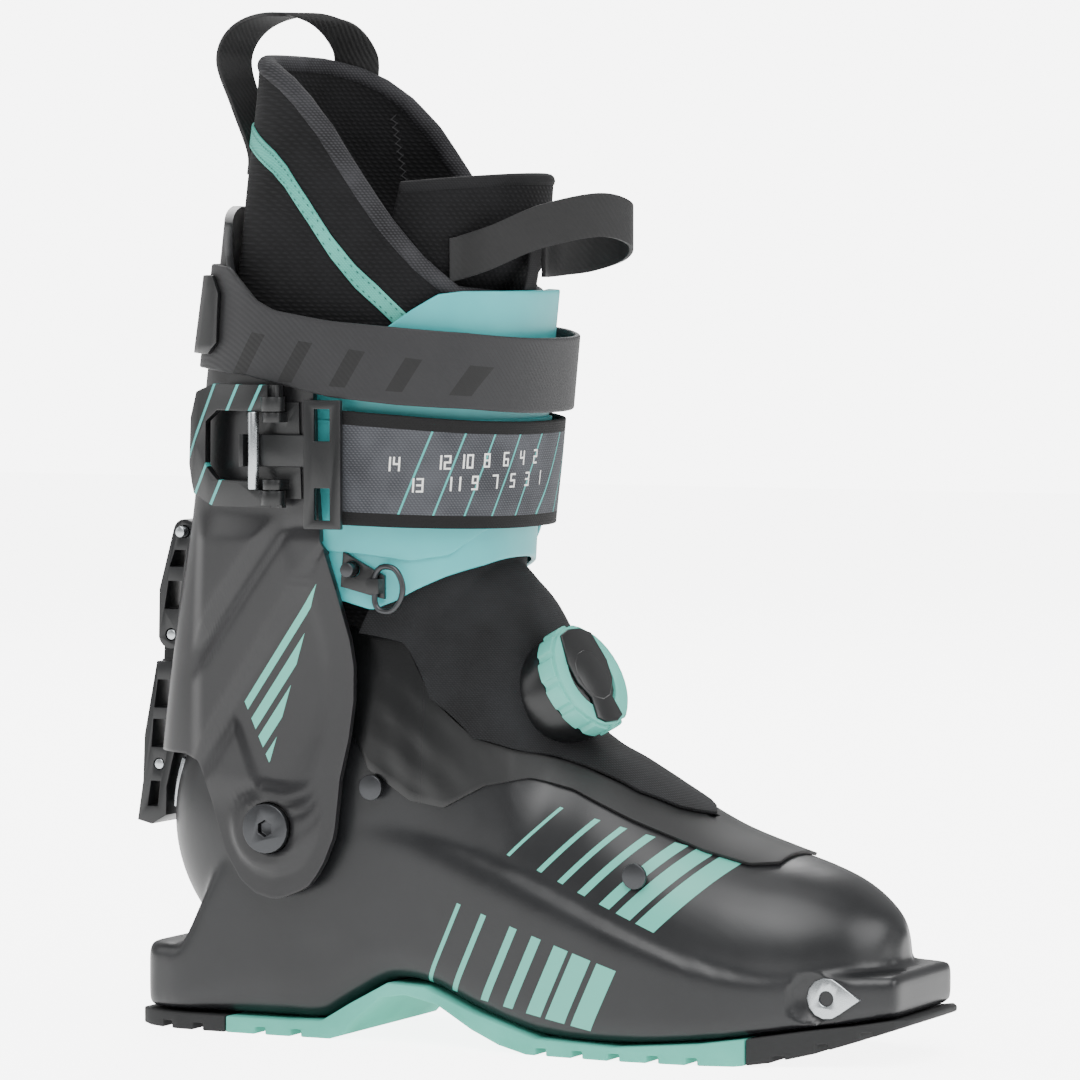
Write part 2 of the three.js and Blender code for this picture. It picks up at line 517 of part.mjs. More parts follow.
// Webbing loop: a band along a path, with its width along Y at its start and along `acrossEnd` at its end
function loop(path, width, acrossEnd = [0, 1, 0]) {
  const [acrossStart, acrossLast] = [new THREE.Vector3(0, 1, 0), new THREE.Vector3(...acrossEnd).normalize()];
  const curve = new THREE.CatmullRomCurve3(path.map((point) => new THREE.Vector3(...point)));
  const points = curve.getSpacedPoints(20);
  const sections = points.map((point, index) => {
    const along = points[Math.min(index + 1, 20)].clone().sub(points[Math.max(index - 1, 0)]);
    const across = acrossStart.clone().lerp(acrossLast, index / 20).normalize();
    const out = across.clone().cross(along).normalize();
    return [[1, 1], [1, -1], [-1, -1], [-1, 1]].map(([side, face]) => (
      point.clone().addScaledVector(out, 0.8 * face).addScaledVector(across, (side * width) / 2)));
  });
  return solid(new LoftGeometry(sections, { capStart: true, capEnd: true }));
}

const FRONT_LOOP = [
  [-18.9, -32.3, 268.5], [-15.5, -30.5, 269.5], [-5, -28.5, 273], [10, -21, 280], [26, -8, 284], [32, 4, 281],
  [26, 13, 276], [13, 15.5, 272], [3, 13, 270.5], [0, 7.5, 270], [0.6, 1.5, 270],
];
const REAR_LOOP = [
  [-107.6, -2, 298], [-106.9, -2, 306], [-112, -3, 322], [-117, -3, 338], [-112, -1, 349], [-101, 5, 354],
  [-90, 18, 351.5], [-87.4, 32, 342], [-88.8, 36.4, 331], [-88.8, 36.7, 321],
];
const lying = FRONT_LOOP.map(([x, y, z]) => [x, z, -y]);
add('front_pull_loop', loop(lying, 15).rotate([90, 0, 0]), WEBBING);
add('rear_pull_loop', loop(REAR_LOOP, 16, [0.87, 0.5, 0]), WEBBING);

// Webbing tab with a D-shaped ring on the outer side; the ring turns about its straight side
const RING = { x: -41, y: -45.4, wire: 1.1 };
function ringWire(radius) {
  const path = [[-41, 152], [-41, 155], [-41, 158], [-41, 161], [-38.5, 164], [-33.5, 163.5], [-30.5, 158],
    [-31.5, 152.5], [-35, 149], [-39.5, 149.5]].map(([x, z]) => new THREE.Vector3(x, RING.y, z));
  return solid(new THREE.TubeGeometry(new THREE.CatmullRomCurve3(path, true), 30, radius, 8, true));
}
const tabLayer = shaftLayer(outwards(9, 3.5, 3.5), outwards(9, 5.2, 5.2),
  [[-54, 157], [-38.6, 153], [-38.4, 161], [-52.6, 169]], 150, 172, 3);
const keeper = box(-43.4, -38.6, -47.6, -43.3, 155, 160);
let tab = oneSide(tabLayer, -1).add(keeper).subtract(ringWire(RING.wire + 0.35));
tab = tab.subtract(pinY(2.8, -49.5, 163, -60, -40, 14));
add('ring_tab', tab, BLACK);
add('ring_tab_rivet', pinY(2.5, -49.5, 163, -50.4, -44.9, 14), STEEL);
add('d_ring', ringWire(RING.wire), STEEL);

// Lacing dial on the instep, turned about its own axis; the profiles run along that axis
const DIAL = { base: [14, -12, 120.6], lean: 62.7, turn: -9.8 };
function onDial(shape) {
  return shape.rotate([0, DIAL.lean, 0]).rotate([0, 0, DIAL.turn]).translate(DIAL.base);
}
const disc = (radius, z0, z1, sides = 32) => pinZ(radius, 0, 0, z0, z1, sides);
let grip = disc(19.6, 6.6, 12.6, 36).add(disc(18.4, 6.6, 13.8, 36));
for (let notch = 0; notch < 12; notch += 1) {
  const angle = (notch / 12) * 2 * Math.PI;
  grip = grip.subtract(pinZ(2.2, 20.6 * Math.cos(angle), 20.6 * Math.sin(angle), 6, 15, 8));
}
grip = grip.subtract(disc(12.3, 9.8, 15)).add(disc(2.6, -1, 7, 12));
const gaiterClear = footSolid(2.4, () => 5).add(shaftSolid(1.5, 120, 176, 5));
const housing = onDial(disc(18.4, -9, 6).subtract(disc(15.6, -2, 7))).subtract(gaiterClear);
add('dial_housing', largest(housing), BLACK);
const groove = disc(10, -0.4, 1.3).subtract(disc(7, -0.4, 1.3));
add('dial_spool', onDial(disc(9.4, -1.4, 2.3).subtract(groove).subtract(disc(2.9, -3, 5, 12))), BLACK);
add('dial_ratchet', onDial(disc(15.2, 2.7, 6.2, 24).subtract(disc(2.9, 0, 8, 12))), BLACK);
add('dial_knob', onDial(grip), AQUA);
add('dial_cap', onDial(disc(11.9, 10.1, 13.4, 12).add(disc(9.4, 10.1, 14.8, 12))), BLACK);

// The origin goes to the middle of the footprint on the ground
const bounds = new THREE.Box3().setFromObject(boot);
boot.position.set(-(bounds.min.x + bounds.max.x) / 2, -(bounds.min.y + bounds.max.y) / 2, -bounds.min.z);

export default boot;
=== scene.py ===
import json
import math

import bmesh
import bpy
from mathutils import Matrix, Vector

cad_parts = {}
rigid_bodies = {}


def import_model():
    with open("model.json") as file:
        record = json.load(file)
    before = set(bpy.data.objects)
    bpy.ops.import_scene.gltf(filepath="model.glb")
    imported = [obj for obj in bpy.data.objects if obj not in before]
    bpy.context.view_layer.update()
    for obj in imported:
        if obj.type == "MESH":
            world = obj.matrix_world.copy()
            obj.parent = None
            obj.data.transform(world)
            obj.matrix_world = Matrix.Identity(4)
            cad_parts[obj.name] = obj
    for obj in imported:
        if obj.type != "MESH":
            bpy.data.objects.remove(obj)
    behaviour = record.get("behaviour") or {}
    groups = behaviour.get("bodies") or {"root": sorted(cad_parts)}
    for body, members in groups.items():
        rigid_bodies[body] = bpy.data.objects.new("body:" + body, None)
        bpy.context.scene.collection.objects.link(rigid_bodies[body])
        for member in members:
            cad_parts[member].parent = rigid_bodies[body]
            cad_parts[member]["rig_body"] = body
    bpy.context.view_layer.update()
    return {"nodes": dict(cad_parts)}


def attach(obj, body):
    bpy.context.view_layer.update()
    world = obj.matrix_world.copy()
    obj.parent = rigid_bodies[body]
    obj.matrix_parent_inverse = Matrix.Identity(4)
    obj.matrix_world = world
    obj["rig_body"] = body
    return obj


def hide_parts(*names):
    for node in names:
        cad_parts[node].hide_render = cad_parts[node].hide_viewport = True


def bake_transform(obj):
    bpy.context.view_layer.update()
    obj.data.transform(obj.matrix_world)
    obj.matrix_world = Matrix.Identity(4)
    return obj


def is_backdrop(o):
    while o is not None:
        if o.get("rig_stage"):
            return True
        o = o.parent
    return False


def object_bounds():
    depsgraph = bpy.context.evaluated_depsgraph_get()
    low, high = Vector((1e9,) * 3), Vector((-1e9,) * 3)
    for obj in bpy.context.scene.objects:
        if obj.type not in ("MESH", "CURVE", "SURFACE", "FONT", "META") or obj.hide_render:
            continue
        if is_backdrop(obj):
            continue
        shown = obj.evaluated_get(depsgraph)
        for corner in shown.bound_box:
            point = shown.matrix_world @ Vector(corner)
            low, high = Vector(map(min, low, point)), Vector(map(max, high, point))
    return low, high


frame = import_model()

# Studio: a pale sweep of floor, one big soft window light, a fill and a rim light,
# and a long lens that sees the outer side of the boot from a little ahead of it.

SHIFT_X, SHIFT_Y = 3.3, 2.979  # millimetres from the middle of the sole to the frame's origin


def place(x, y, z):
    """A point of the boot in millimetres from the middle of the sole, in the frame's metres."""
    return Vector(((x + SHIFT_X) / 1000, (y + SHIFT_Y) / 1000, z / 1000))


def linear(hex_colour):
    """An sRGB hex colour as linear RGBA."""
    parts = [int(hex_colour[i : i + 2], 16) / 255 for i in (1, 3, 5)]
    return [p / 12.92 if p <= 0.04045 else ((p + 0.055) / 1.055) ** 2.4 for p in parts] + [1.0]


def add_node(tree, kind, inputs=(), **settings):
    """Adds a shader node; an input that is a socket is linked and any other is set."""
    made = tree.nodes.new("ShaderNode" + kind)
    for key, value in settings.items():
        setattr(made, key, value)
    for key, value in dict(inputs).items():
        if isinstance(value, bpy.types.NodeSocket):
            tree.links.new(value, made.inputs[key])
        else:
            made.inputs[key].default_value = value
    return made


def maths(tree, operation, *values):
    """The result of a maths node on sockets and numbers."""
    return add_node(tree, "Math", dict(enumerate(values)), operation=operation).outputs[0]


def new_material(name, **shader):
    """A material with its Principled shader; the values set go straight on the shader's sockets."""
    material = bpy.data.materials.new(name)
    material.use_nodes = True
    tree = material.node_tree
    surface = tree.nodes["Principled BSDF"]
    for key, value in shader.items():
        surface.inputs[key.replace("_", " ")].default_value = value
    return material, tree, surface


def object_from(bm, name, material, smooth_angle=60):
    """A finished bmesh as an object with its material, smooth but for its real edges."""
    mesh = bpy.data.meshes.new(name)
    bm.to_mesh(mesh)
    bm.free()
    mesh.materials.append(material)
    mesh.shade_smooth()
    mesh.set_sharp_from_angle(angle=math.radians(smooth_angle))
    piece = bpy.data.objects.new(name, mesh)
    bpy.context.scene.collection.objects.link(piece)
    return piece


def camera_level(tree, seen, otherwise):
    """A strength with one value for what the camera sees and another for the light it gives."""
    rays = add_node(tree, "LightPath")
    level = add_node(tree, "MapRange", {
        "Value": rays.outputs["Is Camera Ray"], "To Min": otherwise, "To Max": seen})
    return level.outputs["Result"]


# matt white backdrop paper, lit evenly up to the horizon as the camera sees it
backdrop_paint, tree, surface = new_material(
    "matt_backdrop_paper", Base_Color=linear("#f4f4f3"), Roughness=0.9, Emission_Color=linear("#ffffff"))
tree.links.new(camera_level(tree, 5.6, 1.0), surface.inputs["Emission Strength"])
bm = bmesh.new()
bmesh.ops.create_grid(bm, x_segments=2, y_segments=2, size=4.0)
floor = object_from(bm, "studio_floor", backdrop_paint, 32)
floor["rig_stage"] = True

scene = bpy.context.scene
lens = bpy.data.cameras.new("studio_camera")
lens.lens = 212.7
lens.sensor_width = 36.0
lens.clip_end = 20.0
camera = bpy.data.objects.new("studio_camera", lens)
scene.collection.objects.link(camera)
azimuth, elevation, distance_m = math.radians(25), math.radians(3), 2.2
away = Vector((
    math.sin(azimuth) * math.cos(elevation), -math.cos(azimuth) * math.cos(elevation), math.sin(elevation)))
camera.location = place(0, 0, 172) + away * distance_m
camera.rotation_euler = away.to_track_quat("Z", "Y").to_euler()
scene.camera = camera

aim = Vector((0, 0, 0.15))
for name, where, size_m, watts in (
    ("window_light", (0.5, -1.5, 1.5), 1.4, 15),
    ("fill_light", (-1.6, -0.7, 0.9), 1.2, 7),
    ("toe_light", (1.7, 0.3, 0.9), 1.0, 13),
    ("rim_light", (-0.7, 1.5, 1.4), 1.0, 20),
    ("top_light", (0.0, 0.0, 2.0), 1.6, 8),
):
    lamp = bpy.data.lights.new(name, "AREA")
    lamp.size = size_m
    lamp.energy = watts
    light = bpy.data.objects.new(name, lamp)
    scene.collection.objects.link(light)
    light.location = where
    light.rotation_euler = (Vector(where) - aim).to_track_quat("Z", "Y").to_euler()
sky = bpy.data.lights.new("overhead_bank", "SUN")
sky.energy = 1.9
sky.angle = math.radians(50)
bank = bpy.data.objects.new("overhead_bank", sky)
scene.collection.objects.link(bank)
bank.rotation_euler = Vector((0.35, -0.5, 1.0)).to_track_quat("Z", "Y").to_euler()
world = bpy.data.worlds.new("studio_world")
world.use_nodes = True
background = world.node_tree.nodes["Background"]
background.inputs["Color"].default_value = (1.0, 1.0, 1.0, 1.0)
world.node_tree.links.new(camera_level(world.node_tree, 6.9, 0.45), background.inputs["Strength"])
scene.world = world

# Lower shell: one moulding in carbon-filled polyamide. The ankle cup, the foot and the thick
# frame above the sole are one piece, with a crease where the frame stands proud of the foot.


def row_at(table, position):
    """A smooth row of values between the stations of a table."""
    stations = [row[0] for row in table]
    position = min(max(position, stations[0]), stations[-1])
    i1 = next(i for i in range(1, len(table)) if position <= stations[i])
    i0 = i1 - 1
    t0, t1 = stations[i0], stations[i1]
    before = i0 - 1 if i0 else i1
    after = i1 + 1 if i1 < len(table) - 1 else i0
    # pull of the stations before and after, by how far off they stand
    a = (t1 - t0) / 2 / (t0 - stations[before] if i0 else t1 - t0)
    b = (t1 - t0) / 2 / (stations[after] - t1 if i1 < len(table) - 1 else t1 - t0)
    p = (position - t0) / (t1 - t0)
    shares = (
        -a * p**3 + 2 * a * p**2 - a * p,
        (1 + a) * p**3 + (-1.5 - 2 * a) * p**2 + (-0.5 + a) * p + 1,
        (-1 - b) * p**3 + (1.5 + b) * p**2 + 0.5 * p,
        b * p**3 - b * p**2)
    rows = (table[before][1:], table[i0][1:], table[i1][1:], table[after][1:])
    return [sum(share * value for share, value in zip(shares, values)) for values in zip(*rows)]


def line_at(line, x):
    """Height of a drawn line of points at x."""
    if x <= line[0][0]:
        return line[0][1]
    for (x0, z0), (x1, z1) in zip(line, line[1:]):
        if x <= x1:
            return z0 + (z1 - z0) * (x - x0) / (x1 - x0)
    return line[-1][1]


def between(start, end, share):
    return start + (end - start) * share


def ramp(value, start, end):
    """A smooth step from 0 at start to 1 at end."""
    share = min(max((value - start) / (end - start), 0.0), 1.0)
    return share * share * (3 - 2 * share)


def rounded(value, roundness):
    """A sine or cosine bent towards a squarer section."""
    return math.copysign(abs(value) ** (2 / roundness), value)


def grid_mesh(columns, rows, surface):
    """A sheet of quads over surface(u, v), in millimetres, with u and v kept as its UV map."""
    bm = bmesh.new()
    points = [[bm.verts.new(place(*surface(i / columns, j / rows))) for j in range(rows + 1)]
              for i in range(columns + 1)]
    chart = bm.loops.layers.uv.new("UVMap")
    corners = ((0, 0), (1, 0), (1, 1), (0, 1))
    for i in range(columns):
        for j in range(rows):
            face = bm.faces.new([points[i + di][j + dj] for di, dj in corners])
            for loop, (di, dj) in zip(face.loops, corners):
                loop[chart].uv = ((i + di) / columns, (j + dj) / rows)
    return bm


def close_up(bm):
    """Joins what meets and turns the faces outwards."""
    bmesh.ops.remove_doubles(bm, verts=bm.verts, dist=2e-6)
    bmesh.ops.recalc_face_normals(bm, faces=bm.faces)
    return bm


PIVOT_X, PIVOT_Z = -82, 73  # the axis that the cuff turns on
# x, half width, height of the widest point, top, roundness of the top
FOOT = [
    (-124, 8, 45, 60, 2.2), (-118, 22, 46, 78, 2.3), (-108, 30, 48, 105, 2.5), (-95, 34, 50, 135, 2.8),
    (-80, 36.5, 52, 165, 3.2), (-55, 37.5, 52, 176, 3.2), (-35, 38, 50, 172.5, 3.0),
    (-25, 38.5, 48, 169.5, 2.8), (-14, 39, 45, 164, 2.5), (-7, 39.5, 43, 158, 2.3), (0, 40, 41.5, 150, 2.3),
    (6, 41, 40, 137, 2.3),
    (10, 41.5, 39, 121, 2.3), (15, 42, 38, 109, 2.3), (22, 43, 36, 102.5, 2.3), (35, 44.5, 34, 95.5, 2.3),
    (52, 46, 32, 85.5, 2.3), (70, 46, 30, 76, 2.3), (90, 43.5, 30, 69, 2.3), (105, 39, 30, 64.5, 2.3),
    (118, 32, 30, 59.5, 2.2), (127, 24, 30, 53.5, 2.2), (133, 14, 31, 48, 2.2), (136, 5, 33, 43, 2.2),
]
# x, half width, bottom, top of the sole frame
FRAME = [
    (-141, 24, 6, 29), (-137, 29.5, 6, 29.5), (-130, 33, 6, 30), (-123, 35, 6, 31), (-112, 36, 6, 52),
    (-98, 36.5, 6, 75), (-82, 37, 6, 84), (-66, 37, 6.5, 86), (-55, 37.5, 13, 84), (-40, 38.5, 21, 79),
    (-25, 40, 20.5, 74), (-5, 43, 13, 67), (20, 46.5, 6, 58), (50, 49, 5, 46), (80, 47.5, 7.5, 35),
    (98, 43, 10, 31), (115, 36, 12.5, 31), (130, 32, 14.5, 31), (143, 27, 16.5, 31),
]


def foot_half_width(x, z, grow=0.0):
    """Half the width of the foot at a point of the side view, above its widest height."""
    half_width, middle, top, roundness = row_at(FOOT, x)
    share = max(z - middle, 0.0) / (top + grow - middle)
    return (half_width + grow) * max(1 - share**roundness, 0.0) ** (1 / roundness)


def end_cap(u):
    """How wide a closed form is near its two ends, and how far along it the section lies."""
    end = 0.012
    return min(u / end, (1 - u) / end, 1.0), min(max((u - end) / (1 - 2 * end), 0.0), 1.0)


def foot_surface(u, v):
    cap, u = end_cap(u)
    x = between(FOOT[0][0], FOOT[-1][0], u)
    half_width, middle, top, roundness = row_at(FOOT, x)
    low = min(row_at(FRAME, x)[1] + 3, middle - 2)
    turn = 2 * math.pi * v
    up = math.sin(turn)
    reach = top - middle if up >= 0 else middle - low
    shape = roundness if up >= 0 else 5
    return x, cap * half_width * rounded(math.cos(turn), shape), middle + cap * reach * rounded(up, shape)


def frame_surface(u, v):
    cap, u = end_cap(u)
    x = between(FRAME[0][0], FRAME[-1][0], u)
    half_width, bottom, top = row_at(FRAME, x)
    turn = 2 * math.pi * v
    edge = 9
    return (x, cap * half_width * rounded(math.cos(turn), edge),
            (bottom + top) / 2 + cap * (top - bottom) / 2 * rounded(math.sin(turn), edge))


def ankle_cup(u, v):
    turn = math.pi * (v - 0.5)
    spin = 2 * math.pi * u
    radius, half_width, roundness = 55, 38.3, 2.4
    out = radius * max(rounded(math.cos(turn), roundness), 0.0)
    return (PIVOT_X + out * math.cos(spin), half_width * rounded(math.sin(turn), roundness),
            PIVOT_Z + out * math.sin(spin))


def two_tone(tree, surface, factor, base, other, start=0.0, end=1.0):
    """Colours a surface from one hex colour to another as the factor runs from start to end."""
    tint = add_node(tree, "ValToRGB", {"Fac": factor})
    for element, colour, position in zip(tint.color_ramp.elements, (base, other), (start, end)):
        element.color = linear(colour)
        element.position = position
    tree.links.new(tint.outputs["Color"], surface.inputs["Base Color"])


def relief(tree, surface, height, strength, depth_m):
    """Fine relief on a surface."""
    bump = add_node(tree, "Bump", {"Height": height, "Strength": strength, "Distance": depth_m})
    tree.links.new(bump.outputs["Normal"], surface.inputs["Normal"])


def uneven_gloss(tree, surface, factor, smoothest, roughest):
    gloss = add_node(tree, "MapRange", {"Value": factor, "To Min": smoothest, "To Max": roughest})
    tree.links.new(gloss.outputs["Result"], surface.inputs["Roughness"])


def moulded_plastic(name, base, other, roughness, grain_mm=0.5, depth=0.00004):
    """Polyamide from a polished and lightly sparked mould: even colour, fine grain, satin gloss."""
    material, tree, surface = new_material(name, Roughness=roughness, IOR=1.53)
    coords = add_node(tree, "TexCoord").outputs["Object"]
    cloud = add_node(tree, "TexNoise", {"Vector": coords, "Scale": 45.0, "Detail": 5.0}).outputs["Fac"]
    two_tone(tree, surface, cloud, base, other, 0.35, 0.7)
    grain = add_node(tree, "TexNoise", {"Vector": coords, "Scale": 1000 / grain_mm, "Detail": 2.0})
    relief(tree, surface, grain.outputs["Fac"], 0.35, depth)
    uneven_gloss(tree, surface, cloud, roughness - 0.05, roughness + 0.08)
    return material


def gloss_across(material, start, end, rough_start, rough_end):
    """Changes the gloss of a moulding along X, between two places given in millimetres."""
    tree = material.node_tree
    surface = tree.nodes["Principled BSDF"]
    spot = add_node(tree, "SeparateXYZ", {"Vector": add_node(tree, "TexCoord").outputs["Object"]})
    level = add_node(tree, "MapRange", {
        "Value": spot.outputs["X"], "From Min": (start + SHIFT_X) / 1000, "From Max": (end + SHIFT_X) / 1000,
        "To Min": rough_start, "To Max": rough_end})
    tree.links.new(level.outputs["Result"], surface.inputs["Roughness"])


def printed_bars(material, bars, slope, lines, ink):
    """Pad-printed slanting bars. Each bar is (from, to) in millimetres along X at the height zero,
    `slope` is how far the bars lean forwards for each millimetre up, and the bars stop at straight
    lines, each (height at x = 0, rise for each millimetre along X, whether they lie above it)."""
    tree = material.node_tree
    surface = tree.nodes["Principled BSDF"]
    coords = add_node(tree, "TexCoord").outputs["Object"]
    axes = add_node(tree, "SeparateXYZ", {"Vector": coords})
    x_mm = maths(tree, "MULTIPLY_ADD", axes.outputs["X"], 1000.0, -SHIFT_X)
    z_mm = maths(tree, "MULTIPLY", axes.outputs["Z"], 1000.0)
    lean = maths(tree, "MULTIPLY_ADD", z_mm, -slope, x_mm)
    first, last = bars[0][0] - 2, bars[-1][1] + 2
    along = add_node(tree, "MapRange", {"Value": lean, "From Min": first, "From Max": last})
    ramp = add_node(tree, "ValToRGB", {"Fac": along.outputs["Result"]})
    ramp.color_ramp.interpolation = "CONSTANT"
    stops = [(0.0, 0.0)]
    for start, end in bars:
        stops += [((start - first) / (last - first), 1.0), ((end - first) / (last - first), 0.0)]
    while len(ramp.color_ramp.elements) < len(stops):
        ramp.color_ramp.elements.new(0.5)
    for element, (position, _level) in zip(ramp.color_ramp.elements, stops):
        element.position = position
    for element, (_position, level) in zip(ramp.color_ramp.elements, stops):
        element.color = (level, level, level, 1.0)
    mask = ramp.outputs["Color"]
    for height, rise, above in lines:
        line = maths(tree, "MULTIPLY_ADD", x_mm, rise, height)
        inside = maths(tree, "GREATER_THAN" if above else "LESS_THAN", z_mm, line)
        mask = maths(tree, "MULTIPLY", mask, inside)
    plain = surface.inputs["Base Color"].links[0].from_socket
    mixed = add_node(tree, "Mix", {0: mask, 6: plain, 7: linear(ink)}, data_type="RGBA")
    tree.links.new(mixed.outputs[2], surface.inputs["Base Color"])


shell_plastic = moulded_plastic("moulded_carbon_polyamide", "#141517", "#1b1c1e", 0.33)
printed_bars(
    shell_plastic,
    [(-35.2, -33.4), (-24.0, -21.6), (-10.9, -7.6), (-0.9, 3.4), (9.2, 15.4), (17.5, 25.5), (28.0, 36.3)],
    0.47, ((17.0, -0.18, True), (46.3, -0.31, False)), "#5bb5a4")
printed_bars(
    shell_plastic,
    [(-62.6, -60.8), (-46.0, -43.6), (-34.4, -31.6), (-23.3, -19.2), (-11.2, -5.5), (-1.8, 5.6), (8.6, 18.5)],
    1.02, ((69.5, -0.41, True), (89.5, -0.27, False)), "#5bb5a4")

# the three forms are fused into one skin, whose corners are then eased by smoothing
bm = bmesh.new()
for columns, rows, form in ((170, 72, foot_surface), (190, 72, frame_surface), (72, 40, ankle_cup)):
    part = close_up(grid_mesh(columns, rows, form))
    raw = bpy.data.meshes.new("moulding_form")
    part.to_mesh(raw)
    part.free()
    bm.from_mesh(raw)
moulding = object_from(bm, "moulding_blank", shell_plastic, 32)
remesh = moulding.modifiers.new("fused", "REMESH")
remesh.mode = "VOXEL"
remesh.voxel_size = 0.0015
bpy.context.view_layer.update()
fused = bpy.data.meshes.new_from_object(moulding.evaluated_get(bpy.context.evaluated_depsgraph_get()))
bpy.data.objects.remove(moulding)
bm = bmesh.new()
bm.from_mesh(fused)
for _ in range(4):
    bmesh.ops.smooth_vert(bm, verts=bm.verts, factor=0.5, use_axis_x=True, use_axis_y=True, use_axis_z=True)


def in_boot(point):
    """A point of the frame in metres, as its millimetres from the middle of the sole."""
    return point.x * 1000 - SHIFT_X, point.y * 1000 - SHIFT_Y, point.z * 1000


# flat seats for the toe inserts, flared out to the welt's own sides
SEAT_X, SEAT_Z, SEAT_RADIUS, SEAT_Y = 121, 23, 8.2, 32.3
for vert in bm.verts:
    x, y, z = in_boot(vert.co)
    from_seat = math.hypot(x - SEAT_X, z - SEAT_Z)
    if from_seat < 12 and abs(y) > 20:
        flare = SEAT_Y + max(from_seat - SEAT_RADIUS, 0) * 1.1
        vert.co.y = (math.copysign(min(abs(y), flare), y) + SHIFT_Y) / 1000
# the throat is cut out along a line and its rim drawn on to it
THROAT = [(-160, 97), (-108, 97), (-97, 118), (-58, 128), (-36, 136), (-23, 130), (3, 108), (20, 99),
          (32, 96), (52, 90), (62, 86)]
opening = []
for face in bm.faces:
    x, y, z = in_boot(face.calc_center_median())
    if x < 60 and z > line_at(THROAT, x):
        opening.append(face)
bmesh.ops.delete(bm, geom=opening, context="FACES")
for vert in bm.verts:
    x = in_boot(vert.co)[0]
    if vert.is_boundary and x < 58:
        vert.co.z = line_at(THROAT, x) / 1000
bmesh.ops.recalc_face_normals(bm, faces=bm.faces)
shell = object_from(bm, "shell_moulding", shell_plastic)
wall = shell.modifiers.new("wall", "SOLIDIFY")
wall.thickness = 0.003
wall.offset = -1


def fitted(piece, body, slot_name, *node_names):
    """Hangs a finished piece on its body, in place of the frame nodes that it stands for."""
    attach(piece, body)
    for node_name in node_names:
        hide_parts(node_name)


fitted(shell, "shell", "moulded_shell", "lower_shell")


# Sole: turquoise rubber under the foot and black rubber at heel and toe, moulded with lugs and
# bonded to the frame. The metal inserts for the binding sit in the toe welt and in the heel.


def from_frame(node_name, piece_name, material, bevel_mm=0.35, flat_angle=35):
    """A welded copy of a frame node with its real edges broken by a small round."""
    bm = bmesh.new()
    bm.from_mesh(frame["nodes"][node_name].data)
    bmesh.ops.remove_doubles(bm, verts=bm.verts, dist=1e-6)
    bmesh.ops.dissolve_limit(bm, angle_limit=math.radians(0.6), verts=bm.verts, edges=bm.edges)
    bmesh.ops.recalc_face_normals(bm, faces=bm.faces)
    if bevel_mm:
        sharp = [e for e in bm.edges if e.is_manifold and e.calc_face_angle(0) > math.radians(flat_angle)]
        bmesh.ops.bevel(bm, geom=sharp, offset=bevel_mm / 1000, offset_type="OFFSET", segments=2, profile=0.5,
                        affect="EDGES", clamp_overlap=True, material=-1)
    piece = object_from(bm, piece_name, material, 40)
    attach(piece, frame["nodes"][node_name]["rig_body"])
    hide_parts(node_name)
    return piece


def dress(suffix, bevel_mm, groups, flat_angle=35):
    """Dresses frame nodes, given as (material, slot, names) for each kind."""
    for material, slot_name, node_names in groups:
        for node_name in node_names.split():
            from_frame(node_name, node_name + suffix, material, bevel_mm, flat_angle)


def moulded_rubber(name, base, other):
    """Vulcanised rubber: matt, a little dusty, with a fine moulded grain."""
    material = moulded_plastic(name, base, other, 0.72, 0.7, 0.00008)
    material.node_tree.nodes["Principled BSDF"].inputs["IOR"].default_value = 1.52
    return material


sole_rubber = moulded_rubber("turquoise_vulcanised_rubber", "#4fae9c", "#5bbba9")
dark_rubber = moulded_rubber("black_vulcanised_rubber", "#141516", "#1d1e1f")
for node_name, piece_name, rubber, slot_name in (
    ("outsole", "outsole_rubber", sole_rubber, "turquoise_rubber"),
    ("heel_rubber", "heel_tread", dark_rubber, "black_rubber"),
    ("toe_rubber", "toe_tread", dark_rubber, "black_rubber"),
):
    from_frame(node_name, piece_name, rubber, 0.6)


def machined_steel(name, base, roughness):
    """Stainless or plated steel, turned or pressed: bright, with fine drawn scratches."""
    material, tree, surface = new_material(name, Base_Color=linear(base), Metallic=1.0, Roughness=roughness)
    coords = add_node(tree, "TexCoord").outputs["Object"]
    drawn = add_node(tree, "Mapping", {"Vector": coords, "Scale": (400.0, 2500.0, 2500.0)})
    scratches = add_node(tree, "TexNoise", {"Vector": drawn.outputs["Vector"], "Scale": 1.0, "Detail": 3.0})
    relief(tree, surface, scratches.outputs["Fac"], 0.2, 0.00002)
    uneven_gloss(tree, surface, scratches.outputs["Fac"], roughness - 0.08, roughness + 0.12)
    return material


bright_steel = machined_steel("plated_steel", "#c4c9cc", 0.26)
dark_steel = machined_steel("black_oxide_steel", "#4a4b4d", 0.36)
dress("_metal", 0.3, (
    (bright_steel, "steel", "toe_insert_outer toe_insert_inner heel_insert lock_plate"),
    (dark_steel, "dark_steel", "shell_rivet_outer_rear shell_rivet_outer_front shell_rivet_inner_rear "
     "shell_rivet_inner_front pivot_bolt_outer pivot_bolt_inner pivot_nut_outer pivot_nut_inner"),
))

# Gaiter and rand: black stretch softshell, laminated, closes the throat over the instep; a
# smooth moulded polyurethane band, glossy and a little creased, is bonded along its lower edge.

# z, back, front, half width, roundness of the leg that every layer of the shaft is laid on
LEG = [
    (40, -134, -14, 37.5, 3), (75, -134, -14, 37.5, 3), (96, -132, -14, 37.8, 3), (130, -128, -14, 39, 2.8),
    (172, -121.5, -12.5, 42, 2.5), (200, -118, -9.5, 44, 2.4), (235, -113.5, -6.5, 45.5, 2.4),
    (260, -110.5, -3.5, 46, 2.3), (290, -107, 0, 46, 2.3), (345, -101.5, 2, 45, 2.3),
]


